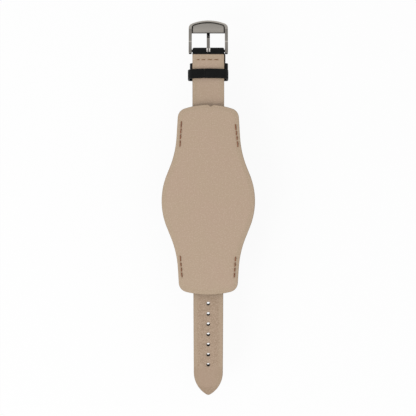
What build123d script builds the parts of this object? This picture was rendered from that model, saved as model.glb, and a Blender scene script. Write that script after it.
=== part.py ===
from build123d import *
import math
import os

# Bund watch strap, lying with its wrist side up: the pad's wrist face is z = 0, the buckle end is +Y.
# Driving dimensions, in millimetres
lug_width = 20.0
lug_bar_spacing = 36.5
buckle_side_length = 76.0
tail_side_length = 106.3
strap_lug_thickness = 4.0
buckle_end_thickness = 2.6
tail_end_thickness = 2.4

# Pad
pad_length = 118.6
pad_width = 58.3
pad_belly_radius = 43.5
pad_belly_shift = 0.8
pad_flank_angle = 22.0
pad_upper_waist_y = 30.0
pad_upper_end_taper = 1.6
pad_lower_waist_y = 32.0
pad_lower_end_taper = 1.45
pad_waist_radius = 60.0
pad_corner_radius = 6.0
pad_upper_end_sagitta = 4.0
pad_lower_end_sagitta = 3.0
pad_lining_thickness = 1.0
pad_cover_thickness = 1.8
pad_core_thickness = 0.6
pad_core_inset = 5.0
core_clearance = 0.1

# Thread
thread_width = 0.6
thread_height = 0.3
thread_groove = 0.35
thread_clearance = 0.1
stitch_notch_radius = 0.25
stitch_count = 4

# Sprung bars
tube_radius = 0.9
tube_wall = 0.25
tube_bore_radius = tube_radius - tube_wall
pin_clearance = 0.05
pin_radius = tube_bore_radius - pin_clearance
pin_flange_step = 0.1
pin_flange_radius = tube_radius - pin_flange_step
pin_flange_thickness = 0.45
pin_tip_radius = 0.4
pin_tip_chamfer = 0.12
lug_tip_length = 1.05
buckle_tip_length = 1.1
pin_travel = 1.2
pin_engagement = 2.6
shoulder_gap = 0.05
running_clearance = 0.08
spring_wire_radius = 0.11
spring_wire_flats = 8
spring_clearance = 0.06
spring_coil_radius = tube_bore_radius - spring_wire_radius - spring_clearance
spring_turns = 14
spring_end_gap = 0.02

# Buckle
buckle_side_clearance = 0.5
buckle_inner_width = lug_width + 2 * buckle_side_clearance
buckle_rail_width = 1.93
buckle_rail_height = 2.4
buckle_reach = 19.8
buckle_arch_radius = 27.6
buckle_rail_end = 2.0
buckle_rail_end_radius = 0.9
buckle_corner_radius = 3.2
buckle_inner_corner_radius = 2.0
buckle_rim_width = 1.1
buckle_facet_start = 5.4
buckle_facet_run = 0.8
buckle_facet_drop = 0.3
plate_depth = 7.7
plate_inner_reach = buckle_reach - plate_depth
plate_thickness = 1.2
plate_web_thickness = 0.5
plate_end_gap = 0.7
rail_hole_clearance = 0.05
rail_hole_end_clearance = 0.2
rail_hole_depth = buckle_tip_length + rail_hole_end_clearance

# Tang
tang_width = 2.0
tang_thickness = 1.0
tang_eye_clearance = 0.05
tang_eye_wall = 0.65
tang_eye_radius = tube_radius + tang_eye_clearance + tang_eye_wall
tang_eye_width = 2.5
tang_eye_slit_width = 0.65
tang_eye_slit_length = 2.1
tang_plate_approach = 0.5
tang_plate_reach = plate_inner_reach - tang_plate_approach
tang_bend_run = 3.6
tang_level_reach = tang_plate_reach - tang_bend_run
tang_rim_setback = 2.4
tang_length = buckle_reach - tang_rim_setback
tang_offset = 0.2
tang_bend_radius = 2.0
tang_tip_radius = 0.7
tang_plate_gap = 0.05
tang_slot_clearance = 0.2
tang_slot_wrist_length = tang_eye_radius + tang_slot_clearance
tang_slot_swing_room = 1.45
tang_slot_front_length = tang_slot_wrist_length + tang_slot_swing_room
tang_slot_split = 0.2

# Straps
strap_gap = 0.2
strap_lining_thickness = 0.9
front_leather = 1.1
loop_radius = strap_lug_thickness / 2
lug_lining_step = 0.4
lug_lining_setback = loop_radius + lug_lining_step
lug_stitch_margin = 2.6
lug_stitch_bar_distance = lug_lining_setback + lug_stitch_margin
lug_row_side_margin = 3.2
filler_stitch_gap = 1.6
filler_start = lug_stitch_bar_distance + filler_stitch_gap
padding_step = 1.9
padding_start = filler_start + padding_step
filler_edge = 1.2
skive_run = 0.7
fold_setback = 6.0
fold_chamfer_x = 1.0
fold_chamfer_y = 1.6
buckle_stitch_step = 0.1
buckle_stitch_bar_distance = fold_setback + buckle_stitch_step
buckle_row_side_margin = 3.2
lining_slot_gap = 0.85
buckle_lining_setback = tang_slot_wrist_length + lining_slot_gap

# Tail
tail_taper = 1.2
tail_pad_edge_width = lug_width - tail_taper
tail_point_taper = 0.4
tail_point_width = tail_pad_edge_width - tail_point_taper
tail_point_radius = 17.0
tail_tip_radius = 1.9
hole_count = 7
hole_diameter = 2.2
hole_pitch = 6.5
last_hole_to_point = 20.0

# Bridges, and the rows of stitches through them
bridge_leather = 2.0
bridge_play = 0.3
bridge_width = 17.0
bridge_end_distance = 18.3
bridge_middle_y = pad_length / 2 - bridge_end_distance
bridge_side_clearance = 0.9
bridge_arch_half_width = lug_width / 2 + bridge_side_clearance
bridge_foot_run = 2.1
bridge_foot_half_width = bridge_arch_half_width + bridge_foot_run
bridge_bend_radius = 1.0
bridge_stitch_margin = 2.5
upper_row_allowance = 1.8
upper_row_shift = -0.25
lower_row_allowance = 3.6
lower_row_shift = 0.8

# Keepers
keeper_leather = 1.15
keeper_play = 0.15
keeper_inner_radius = 0.5
fixed_keeper_length = 4.25
fixed_keeper_bar_distance = 7.95
fixed_keeper_side_clearance = 0.95
fixed_keeper_width = lug_width + 2 * (fixed_keeper_side_clearance + keeper_leather)
fixed_keeper_tongue = 0.7
fixed_keeper_shift = 0.4
pocket_clearance = 0.05
free_keeper_length = 5.8
free_keeper_gap = 0.2
free_keeper_side_clearance = 1.4
free_keeper_width = lug_width + 2 * (free_keeper_side_clearance + keeper_leather)
keeper_seam_count = 2
keeper_seam_margin = 1.3
keeper_seam_pitch = (free_keeper_length - 2 * keeper_seam_margin) / keeper_seam_count
keeper_seam_x = -2.6

# The tail's tip and the tang stop this far above the surface that the bridges lie on
rest_gap = 0.05
overrun = 1.0

# Levels, worked out from the pad's wrist face down to the surface that the strap lies on
pad_front_z = -pad_lining_thickness - pad_cover_thickness
strap_wrist_z = pad_front_z - strap_gap
strap_joint_z = strap_wrist_z - strap_lining_thickness
bar_z = strap_wrist_z - strap_lug_thickness / 2
lug_front_z = strap_wrist_z - strap_lug_thickness
bridge_inner_z = lug_front_z - bridge_play
floor_z = bridge_inner_z - bridge_leather
buckle_front_z = strap_wrist_z - buckle_end_thickness
tail_front_z = strap_wrist_z - tail_end_thickness
keeper_wrist_z = strap_wrist_z + keeper_play
keeper_front_z = buckle_front_z - tail_end_thickness - keeper_play

# Places along the strap
upper_lug_y = lug_bar_spacing / 2
lower_lug_y = -lug_bar_spacing / 2
buckle_bar_y = upper_lug_y + buckle_side_length
tail_point_y = lower_lug_y - tail_side_length
pad_edge_y = pad_length / 2
bar_bore_radius = tube_radius + running_clearance
fixed_keeper_high_y = buckle_bar_y - fixed_keeper_bar_distance
fixed_keeper_low_y = fixed_keeper_high_y - fixed_keeper_length
free_keeper_high_y = fixed_keeper_low_y - free_keeper_gap

os.makedirs("parts", exist_ok=True)


def save(builder, name):
    """Labels a finished piece and writes it as its own STEP file."""
    builder.part.label = name
    export_step(builder.part, f"parts/{name}.step")


def tangent_point(outside, centre, radius, side):
    """Where a line from an outside point touches a circle, on the side given by +1 or -1."""
    across = outside[0] - centre[0]
    along = outside[1] - centre[1]
    turn = math.atan2(along, across) + side * math.acos(radius / math.hypot(across, along))
    return (centre[0] + radius * math.cos(turn), centre[1] + radius * math.sin(turn))


# Pad outline, seen from the wrist side
with BuildSketch() as pad_outline:
    with BuildLine():
        belly_y = -pad_belly_shift
        flank_turn = math.radians(pad_flank_angle)
        belly_x = pad_width / 2 + pad_belly_radius * (1 / math.cos(flank_turn) - 1)
        upper_waist_x = belly_x - pad_upper_waist_y * math.tan(flank_turn)
        lower_waist_x = belly_x - pad_lower_waist_y * math.tan(flank_turn)
        right_side = [
            (upper_waist_x - pad_upper_end_taper, pad_edge_y - pad_upper_end_sagitta),
            (upper_waist_x, belly_y + pad_upper_waist_y),
            (belly_x, belly_y),
            (lower_waist_x, belly_y - pad_lower_waist_y),
            (lower_waist_x - pad_lower_end_taper, pad_lower_end_sagitta - pad_edge_y),
        ]
        left_side = [(-x, y) for x, y in right_side]
        Polyline(*right_side)
        Polyline(*left_side)
        ThreePointArc(left_side[0], (0, pad_edge_y), right_side[0])
        ThreePointArc(left_side[-1], (0, -pad_edge_y), right_side[-1])
    make_face()
    by_height = pad_outline.vertices().group_by(Axis.Y)
    fillet(by_height[1] + by_height[-2], radius=pad_waist_radius)
    by_side = pad_outline.vertices().sort_by(Axis.X)
    fillet([by_side[0], by_side[-1]], radius=pad_belly_radius)
    by_height = pad_outline.vertices().group_by(Axis.Y)
    fillet(by_height[0] + by_height[-1], radius=pad_corner_radius)


# Stitch rows
def row_plane(centre, direction):
    """A plane on the wrist side of a row of stitches, with its x along the row."""
    return Plane(origin=centre, x_dir=direction, z_dir=(0, 0, 1))


def row_side(plane):
    """The upright plane along a row of stitches, with its y pointing to the wrist side."""
    return Plane(origin=plane.origin, x_dir=plane.x_dir, z_dir=-plane.y_dir)


def thread_row(plane, depth, pitch, count):
    """A row of lock stitches through leather of the given depth, in one piece of thread."""
    with BuildPart() as thread:
        for face_depth, notch_side in ((thread_groove - thread_height, 1), (depth - thread_groove, -1)):
            middle = -face_depth - thread_height / 2
            with BuildSketch(row_side(plane)) as band:
                with Locations((0, middle)):
                    Rectangle(count * pitch, thread_height)
                with Locations((0, middle + notch_side * thread_height / 2)):
                    with GridLocations(pitch, pitch, count + 1, 1):
                        Circle(stitch_notch_radius, mode=Mode.SUBTRACT)
            extrude(band.sketch, amount=thread_width / 2, both=True)
        with BuildSketch(plane.offset(-depth + thread_height)) as legs:
            with GridLocations(pitch, pitch, count + 1, 1):
                Circle(thread_width / 2)
        extrude(legs.sketch, amount=depth - 2 * thread_height)
    return thread


def row_cutter(plane, depth, pitch, count):
    """The two grooves and the needle holes that a row of stitches leaves in its leather."""
    width = thread_width + 2 * thread_clearance
    with BuildPart() as cutter:
        with BuildSketch(plane.offset(-thread_groove)) as groove:
            SlotCenterToCenter(count * pitch, width)
        extrude(groove.sketch, amount=thread_groove + overrun)
        with BuildSketch(plane.offset(-depth - overrun)) as far_groove:
            SlotCenterToCenter(count * pitch, width)
        extrude(far_groove.sketch, amount=thread_groove + overrun)
        with BuildSketch(plane.offset(-depth)) as holes:
            with GridLocations(pitch, pitch, count + 1, 1):
                Circle(width / 2)
        extrude(holes.sketch, amount=depth)
    return cutter.part


def side_row(side, upper):
    """The plane of a bridge's stitch row, which keeps its margin inside the pad's long edge."""
    if upper:
        end, waist = right_side[0], right_side[1]
        row_y = bridge_middle_y + upper_row_shift
    else:
        end, waist = right_side[4], right_side[3]
        row_y = -bridge_middle_y - lower_row_shift
    slope = (end[0] - waist[0]) / (end[1] - waist[1])
    row_x = waist[0] + slope * (row_y - waist[1]) - bridge_stitch_margin
    return row_plane((side * row_x, row_y, 0), (side * slope, 1, 0))


upper_stitch_pitch = (bridge_width - upper_row_allowance) / stitch_count
lower_stitch_pitch = (bridge_width - lower_row_allowance) / stitch_count
bridge_rows = {
    "upper_left_stitch": (side_row(-1, True), upper_stitch_pitch),
    "upper_right_stitch": (side_row(1, True), upper_stitch_pitch),
    "lower_left_stitch": (side_row(-1, False), lower_stitch_pitch),
    "lower_right_stitch": (side_row(1, False), lower_stitch_pitch),
}
bridge_row_depth = -pad_front_z + bridge_leather
bridge_cutters = []
for row_name, (plane, pitch) in bridge_rows.items():
    save(thread_row(plane, bridge_row_depth, pitch, stitch_count), row_name)
    bridge_cutters.append(row_cutter(plane, bridge_row_depth, pitch, stitch_count))

# Pad: lining, cover with a pocket, and the core inside it
with BuildSketch() as core_outline:
    add(pad_outline.sketch)
    offset(amount=-pad_core_inset)

with BuildPart() as pad_lining:
    with BuildSketch(Plane.XY.offset(-pad_lining_thickness)):
        add(pad_outline.sketch)
    extrude(amount=pad_lining_thickness)
    add(bridge_cutters, mode=Mode.SUBTRACT)
save(pad_lining, "pad_lining")

with BuildPart() as pad_cover:
    with BuildSketch(Plane.XY.offset(pad_front_z)):
        add(pad_outline.sketch)
    extrude(amount=pad_cover_thickness)
    with BuildSketch(Plane.XY.offset(-pad_lining_thickness - pad_core_thickness)):
        add(core_outline.sketch)
    extrude(amount=pad_core_thickness, mode=Mode.SUBTRACT)
    add(bridge_cutters, mode=Mode.SUBTRACT)
save(pad_cover, "pad_cover")

with BuildPart() as pad_core:
    with BuildSketch(Plane.XY.offset(-pad_lining_thickness - pad_core_thickness)):
        add(core_outline.sketch)
        offset(amount=-core_clearance)
    extrude(amount=pad_core_thickness)
save(pad_core, "pad_core")


# Bridges: leather bands arched over the strap halves, with their ends trimmed to the pad
def bridge(middle_y, name):
    """One bridge with its middle at a place along the strap."""
    outer_bend = bridge_bend_radius + bridge_leather
    foot_z = pad_front_z - bridge_leather
    run = bridge_foot_half_width - bridge_arch_half_width
    rise = pad_front_z - bridge_inner_z
    lean = math.atan2(run, rise)
    shift = bridge_leather * math.tan((math.pi / 2 - lean) / 2)
    inner = [
        (pad_width, pad_front_z),
        (bridge_foot_half_width, pad_front_z),
        (bridge_arch_half_width, bridge_inner_z),
    ]
    outer = [
        (pad_width, foot_z),
        (bridge_foot_half_width + shift, foot_z),
        (bridge_arch_half_width + shift, floor_z),
    ]
    with BuildPart() as band:
        with BuildSketch(Plane.XZ.offset(-middle_y)) as section:
            with BuildLine():
                inner_path = inner + [(-x, z) for x, z in reversed(inner)]
                outer_path = outer + [(-x, z) for x, z in reversed(outer)]
                inner_radii = [outer_bend, bridge_bend_radius, bridge_bend_radius, outer_bend]
                outer_radii = [bridge_bend_radius, outer_bend, outer_bend, bridge_bend_radius]
                FilletPolyline(*inner_path, radius=inner_radii)
                FilletPolyline(*outer_path, radius=outer_radii)
                Line(inner_path[0], outer_path[0])
                Line(inner_path[-1], outer_path[-1])
            make_face()
        extrude(section.sketch, amount=bridge_width / 2, both=True)
        with BuildSketch(Plane.XY.offset(floor_z - overrun)) as trim:
            add(pad_outline.sketch)
        extrude(trim.sketch, amount=overrun - floor_z, mode=Mode.INTERSECT)
        add(bridge_cutters, mode=Mode.SUBTRACT)
    save(band, name)


bridge(bridge_middle_y, "upper_bridge")
bridge(-bridge_middle_y, "lower_bridge")

# Rows across the strap halves
buckle_stitch_pitch = (lug_width - 2 * buckle_row_side_margin) / stitch_count
lug_stitch_pitch = (lug_width - 2 * lug_row_side_margin) / stitch_count
buckle_row = row_plane((0, buckle_bar_y - buckle_stitch_bar_distance, strap_wrist_z), (1, 0, 0))
upper_lug_row = row_plane((0, upper_lug_y + lug_stitch_bar_distance, strap_wrist_z), (1, 0, 0))
lower_lug_row = row_plane((0, lower_lug_y - lug_stitch_bar_distance, strap_wrist_z), (1, 0, 0))
cross_rows = {
    "buckle_end_stitch": (buckle_row, buckle_end_thickness, buckle_stitch_pitch),
    "upper_lug_stitch": (upper_lug_row, strap_lug_thickness, lug_stitch_pitch),
    "lower_lug_stitch": (lower_lug_row, strap_lug_thickness, lug_stitch_pitch),
}
cross_cutters = []
for row_name, (plane, depth, pitch) in cross_rows.items():
    save(thread_row(plane, depth, pitch, stitch_count), row_name)
    cross_cutters.append(row_cutter(plane, depth, pitch, stitch_count))

# Buckle strap
buckle_lining_end_y = buckle_bar_y - buckle_lining_setback
upper_lining_start_y = upper_lug_y + lug_lining_setback
fold_start = (buckle_bar_y - fold_setback, buckle_front_z)
fold_touch = tangent_point(fold_start, (buckle_bar_y, bar_z), loop_radius, 1)
upper_padding_y = upper_lug_y + padding_start

with BuildPart() as buckle_strap_lining:
    with BuildSketch(Plane.YZ):
        with BuildLine():
            Polyline(
                (upper_lining_start_y, strap_wrist_z),
                (buckle_lining_end_y, strap_wrist_z),
                (buckle_lining_end_y - skive_run, strap_joint_z),
                (upper_lining_start_y + skive_run, strap_joint_z),
                close=True,
            )
        make_face()
    extrude(amount=lug_width / 2, both=True)
    add(cross_cutters, mode=Mode.SUBTRACT)
save(buckle_strap_lining, "buckle_strap_lining")

filler_start_y = upper_lug_y + filler_start
filler_front_z = lug_front_z + front_leather
filler_end_y = pad_edge_y
filler_end_z = buckle_front_z + front_leather
with BuildSketch(Plane.YZ) as buckle_filler_section:
    with BuildLine():
        Polyline(
            (filler_start_y, strap_joint_z),
            (filler_start_y, filler_front_z),
            (upper_padding_y, filler_front_z),
            (filler_end_y, filler_end_z),
            (filler_end_y, strap_joint_z),
            close=True,
        )
    make_face()

with BuildPart() as buckle_strap_filler:
    extrude(buckle_filler_section.sketch, amount=lug_width / 2 - filler_edge, both=True)
save(buckle_strap_filler, "buckle_strap_filler")

with BuildPart() as buckle_strap_cover:
    with BuildSketch(Plane.YZ):
        with BuildLine():
            Polyline(
                (upper_lug_y, strap_wrist_z),
                (upper_lining_start_y, strap_wrist_z),
                (upper_lining_start_y + skive_run, strap_joint_z),
                (buckle_lining_end_y - skive_run, strap_joint_z),
                (buckle_lining_end_y, strap_wrist_z),
                (buckle_bar_y, strap_wrist_z),
                (buckle_bar_y, bar_z),
                fold_touch,
                fold_start,
                (pad_edge_y, buckle_front_z),
                (upper_padding_y, lug_front_z),
                (upper_lug_y, lug_front_z),
                close=True,
            )
        make_face()
        with Locations((upper_lug_y, bar_z), (buckle_bar_y, bar_z)):
            Circle(loop_radius)
            Circle(bar_bore_radius, mode=Mode.SUBTRACT)
    extrude(amount=lug_width / 2, both=True)
    extrude(
        buckle_filler_section.sketch,
        amount=lug_width / 2 - filler_edge,
        both=True,
        mode=Mode.SUBTRACT,
    )
    # Cut corners of the fold
    with BuildSketch(Plane.XY.offset(lug_front_z - overrun)) as fold_plan:
        with BuildLine():
            Polyline(
                (-lug_width / 2, 0),
                (-lug_width / 2, buckle_bar_y + loop_radius - fold_chamfer_y),
                (-lug_width / 2 + fold_chamfer_x, buckle_bar_y + loop_radius),
                (lug_width / 2 - fold_chamfer_x, buckle_bar_y + loop_radius),
                (lug_width / 2, buckle_bar_y + loop_radius - fold_chamfer_y),
                (lug_width / 2, 0),
                close=True,
            )
        make_face()
    extrude(fold_plan.sketch, amount=strap_lug_thickness + 2 * overrun, mode=Mode.INTERSECT)
    # Slot for the tang, longer on the front where the tang swings back
    with BuildSketch(Plane.YZ) as tang_slot:
        with BuildLine():
            Polyline(
                (buckle_bar_y - tang_slot_wrist_length, strap_wrist_z + overrun),
                (buckle_bar_y + loop_radius + overrun, strap_wrist_z + overrun),
                (buckle_bar_y + loop_radius + overrun, lug_front_z - overrun),
                (buckle_bar_y - tang_slot_front_length, lug_front_z - overrun),
                (buckle_bar_y - tang_slot_front_length, bar_z - tang_slot_split),
                (buckle_bar_y - tang_slot_wrist_length, bar_z - tang_slot_split),
                close=True,
            )
        make_face()
    extrude(tang_slot.sketch, amount=tang_eye_width / 2 + tang_slot_clearance, both=True, mode=Mode.SUBTRACT)
    # Pocket for the fixed keeper's tongue
    with BuildSketch(Plane.YZ) as keeper_pocket:
        with Locations(((fixed_keeper_high_y + fixed_keeper_low_y) / 2, strap_joint_z)):
            Rectangle(fixed_keeper_length + 2 * pocket_clearance, 2 * fixed_keeper_tongue)
    extrude(keeper_pocket.sketch, amount=lug_width, both=True, mode=Mode.SUBTRACT)
    add(cross_cutters, mode=Mode.SUBTRACT)
save(buckle_strap_cover, "buckle_strap_cover")


# Keepers
def keeper_ring(high_y, length, width, top_z, inner_top_z, middle_x=0):
    """A closed leather loop around the strap, from its wrist side to the surface below."""
    outer_height = top_z - keeper_front_z + keeper_leather
    inner_height = inner_top_z - keeper_front_z
    with BuildPart() as ring:
        with BuildSketch(Plane.XZ.offset(-high_y)) as section:
            with Locations((middle_x, top_z - outer_height / 2)):
                RectangleRounded(width, outer_height, keeper_inner_radius + keeper_leather / 2)
            with Locations((middle_x, inner_top_z - inner_height / 2)):
                RectangleRounded(
                    width - 2 * keeper_leather, inner_height, keeper_inner_radius, mode=Mode.SUBTRACT
                )
        extrude(section.sketch, amount=length)
    return ring


fixed_keeper = keeper_ring(
    fixed_keeper_high_y,
    fixed_keeper_length,
    fixed_keeper_width,
    strap_joint_z,
    strap_joint_z - fixed_keeper_tongue,
    fixed_keeper_shift,
)
save(fixed_keeper, "fixed_keeper")

seam_y = free_keeper_high_y - free_keeper_length / 2
seam_row = row_plane((keeper_seam_x, seam_y, keeper_wrist_z + keeper_leather), (0, 1, 0))
free_ring = keeper_ring(
    free_keeper_high_y,
    free_keeper_length,
    free_keeper_width,
    keeper_wrist_z + keeper_leather,
    keeper_wrist_z,
)
seam_cutter = row_cutter(seam_row, keeper_leather, keeper_seam_pitch, keeper_seam_count)
with BuildPart() as free_keeper:
    add(free_ring.part)
    add(seam_cutter, mode=Mode.SUBTRACT)
save(free_keeper, "free_keeper")
save(thread_row(seam_row, keeper_leather, keeper_seam_pitch, keeper_seam_count), "free_keeper_stitch")

# Tail strap: straight under the pad, then a gentle droop until its tip meets the surface below
droop_start_y = -pad_edge_y
droop_run = droop_start_y - tail_point_y
droop_drop = tail_front_z - floor_z - rest_gap
droop_front_radius = (droop_run**2 + droop_drop**2) / (2 * droop_drop)
droop_centre_z = tail_front_z - droop_front_radius
droop_joint_radius = strap_joint_z - droop_centre_z
droop_wrist_radius = strap_wrist_z - droop_centre_z
droop_angle = math.degrees(math.asin((droop_run + overrun) / droop_front_radius))
droop_centre = (droop_start_y, droop_centre_z)
lower_lining_start_y = lower_lug_y - lug_lining_setback
lower_padding_y = lower_lug_y - padding_start
point_run = math.sqrt(tail_point_radius**2 - (tail_point_radius - tail_point_width / 2) ** 2)
point_start_y = tail_point_y + point_run

with BuildSketch() as tail_outline:
    with BuildLine():
        tail_right = [
            (lug_width / 2, 0),
            (lug_width / 2, lower_lug_y),
            (tail_pad_edge_width / 2, droop_start_y),
            (tail_point_width / 2, point_start_y),
        ]
        tail_left = [(-x, y) for x, y in tail_right]
        Polyline(*tail_right)
        Polyline(*tail_left)
        Line(tail_left[0], tail_right[0])
        tail_point = (0, tail_point_y)
        TangentArc(tail_right[-1], tail_point, tangent=(0, -1))
        TangentArc(tail_left[-1], tail_point, tangent=(0, -1))
    make_face()
    fillet(tail_outline.vertices().sort_by(Axis.Y)[0], radius=tail_tip_radius)


def droop_plane(distance):
    """A plane on the drooping wrist face, at a distance along Y from the pad's edge."""
    turn = math.asin(distance / droop_wrist_radius)
    normal = (0, -math.sin(turn), math.cos(turn))
    y = droop_start_y + droop_wrist_radius * normal[1]
    z = droop_centre_z + droop_wrist_radius * normal[2]
    return Plane(origin=(0, y, z), x_dir=(1, 0, 0), z_dir=normal)


last_hole_y = tail_point_y + last_hole_to_point
hole_planes = [
    droop_plane(droop_start_y - last_hole_y - hole_pitch * place) for place in range(hole_count)
]


def tail_layer(section):
    """One leather layer of the tail half: its side section cut to the tail's outline and punched."""
    with BuildPart() as layer:
        extrude(section.sketch, amount=lug_width, both=True)
        with BuildSketch(Plane.XY.offset(floor_z - overrun)) as plan:
            add(tail_outline.sketch)
        extrude(plan.sketch, amount=-floor_z + overrun, mode=Mode.INTERSECT)
        for plane in hole_planes:
            with BuildSketch(plane.offset(overrun)) as punch:
                Circle(hole_diameter / 2)
            extrude(punch.sketch, amount=-tail_end_thickness - 2 * overrun, mode=Mode.SUBTRACT)
        add(cross_cutters, mode=Mode.SUBTRACT)
    return layer


with BuildSketch(Plane.YZ) as tail_lining_section:
    with BuildLine():
        wrist_arc = CenterArc(droop_centre, droop_wrist_radius, 90, droop_angle)
        joint_arc = CenterArc(droop_centre, droop_joint_radius, 90, droop_angle)
        Line(wrist_arc @ 1, joint_arc @ 1)
        Polyline(
            wrist_arc @ 0,
            (lower_lining_start_y, strap_wrist_z),
            (lower_lining_start_y - skive_run, strap_joint_z),
            joint_arc @ 0,
        )
    make_face()
save(tail_layer(tail_lining_section), "tail_strap_lining")

lower_filler_start_y = lower_lug_y - filler_start
tail_filler_end_z = tail_front_z + front_leather
with BuildSketch(Plane.YZ) as tail_filler_section:
    with BuildLine():
        Polyline(
            (lower_filler_start_y, strap_joint_z),
            (lower_filler_start_y, filler_front_z),
            (lower_padding_y, filler_front_z),
            (droop_start_y, tail_filler_end_z),
            (droop_start_y, strap_joint_z),
            close=True,
        )
    make_face()

with BuildSketch(Plane.YZ) as tail_cover_section:
    with BuildLine():
        cover_joint_arc = CenterArc(droop_centre, droop_joint_radius, 90, droop_angle)
        front_arc = CenterArc(droop_centre, droop_front_radius, 90, droop_angle)
        Line(cover_joint_arc @ 1, front_arc @ 1)
        Polyline(
            cover_joint_arc @ 0,
            (lower_lining_start_y - skive_run, strap_joint_z),
            (lower_lining_start_y, strap_wrist_z),
            (lower_lug_y, strap_wrist_z),
            (lower_lug_y, lug_front_z),
            (lower_padding_y, lug_front_z),
            front_arc @ 0,
        )
    make_face()
    with Locations((lower_lug_y, bar_z)):
        Circle(loop_radius)
        Circle(bar_bore_radius, mode=Mode.SUBTRACT)

tail_filler_half_width = tail_pad_edge_width / 2 - filler_edge
with BuildPart() as tail_strap_cover:
    add(tail_layer(tail_cover_section).part)
    extrude(tail_filler_section.sketch, amount=tail_filler_half_width, both=True, mode=Mode.SUBTRACT)
save(tail_strap_cover, "tail_strap_cover")

with BuildPart() as tail_strap_filler:
    extrude(tail_filler_section.sketch, amount=tail_filler_half_width, both=True)
save(tail_strap_filler, "tail_strap_filler")


# Sprung bars
def bar_plane(y, side):
    """A plane square to a bar's axis at the strap's middle, facing outwards on one side."""
    return Plane(origin=(0, y, bar_z), x_dir=(0, 1, 0), z_dir=(side, 0, 0))


def sprung_bar(name, y, span, tip_length):
    """A sprung bar: a tube, a shouldered pin at each end and the coil spring between them."""
    shoulder_x = span / 2 - shoulder_gap
    flange_x = shoulder_x - pin_flange_thickness
    tube_half_length = flange_x - pin_travel - pin_tip_chamfer
    pin_inner_x = tube_half_length - pin_engagement

    with BuildPart() as tube:
        with BuildSketch(bar_plane(y, 1)):
            Circle(tube_radius)
            Circle(tube_bore_radius, mode=Mode.SUBTRACT)
        extrude(amount=tube_half_length, both=True)
    save(tube, f"{name}_tube")

    for side, side_name in ((-1, "left"), (1, "right")):
        with BuildPart() as pin:
            with BuildSketch(bar_plane(y, side).offset(pin_inner_x)):
                Circle(pin_radius)
            extrude(amount=flange_x - pin_inner_x)
            with BuildSketch(bar_plane(y, side).offset(flange_x)):
                Circle(pin_flange_radius)
            extrude(amount=pin_flange_thickness)
            with BuildSketch(bar_plane(y, side).offset(shoulder_x)):
                Circle(pin_tip_radius)
            extrude(amount=tip_length)
            chamfer(pin.edges().sort_by(Axis.X)[0 if side < 0 else -1], length=pin_tip_chamfer)
        save(pin, f"{name}_{side_name}_pin")

    coil_length = 2 * (pin_inner_x - spring_wire_radius - spring_end_gap)
    with BuildPart() as spring:
        with BuildLine() as wire:
            Helix(
                pitch=coil_length / spring_turns,
                height=coil_length,
                radius=spring_coil_radius,
                center=(-coil_length / 2, y, bar_z),
                direction=(1, 0, 0),
            )
        with BuildSketch(Plane(origin=wire.line @ 0, z_dir=wire.line % 0)):
            RegularPolygon(spring_wire_radius, spring_wire_flats)
        sweep(path=wire.line, is_frenet=True)
    save(spring, f"{name}_spring")


sprung_bar("buckle_bar", buckle_bar_y, buckle_inner_width, buckle_tip_length)
sprung_bar("upper_lug_bar", upper_lug_y, lug_width, lug_tip_length)
sprung_bar("lower_lug_bar", lower_lug_y, lug_width, lug_tip_length)

# Buckle: its plane passes through the bar's axis and leans down until the tang lies on the surface
plate_front_z = -buckle_rail_height / 2
tang_front_z = plate_front_z - tang_plate_gap - tang_thickness
lean_reach = math.hypot(tang_length, tang_front_z)
lean_drop = bar_z - floor_z - rest_gap
buckle_lean = math.asin(lean_drop / lean_reach) - math.atan2(-tang_front_z, tang_length)
buckle_y_dir = (0, math.cos(buckle_lean), -math.sin(buckle_lean))
buckle_z_dir = (0, math.sin(buckle_lean), math.cos(buckle_lean))
buckle_origin = (0, buckle_bar_y, bar_z)
buckle_plan = Plane(origin=buckle_origin, x_dir=(1, 0, 0), z_dir=buckle_z_dir)
buckle_side = Plane(origin=buckle_origin, x_dir=buckle_y_dir, z_dir=(1, 0, 0))
buckle_half_width = buckle_inner_width / 2 + buckle_rail_width
buckle_inner_reach = buckle_reach - buckle_rim_width


def arched_outline(half_width, reach, low, arch_radius, corner_radius):
    """A rectangle with an arched far end and rounded far corners, as a private sketch."""
    with BuildSketch(mode=Mode.PRIVATE) as outline:
        with BuildLine():
            shoulder = reach - arch_radius + math.sqrt(arch_radius**2 - half_width**2)
            Polyline((-half_width, shoulder), (-half_width, low), (half_width, low), (half_width, shoulder))
            ThreePointArc((-half_width, shoulder), (0, reach), (half_width, shoulder))
        make_face()
        fillet(outline.vertices().group_by(Axis.Y)[-1], radius=corner_radius)
    return outline.sketch


outer_outline = arched_outline(
    buckle_half_width, buckle_reach, -buckle_rail_end, buckle_arch_radius, buckle_corner_radius
)
inner_outline = arched_outline(
    buckle_inner_width / 2,
    buckle_inner_reach,
    -buckle_rail_end - overrun,
    buckle_arch_radius - buckle_rim_width,
    buckle_inner_corner_radius,
)

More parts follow.
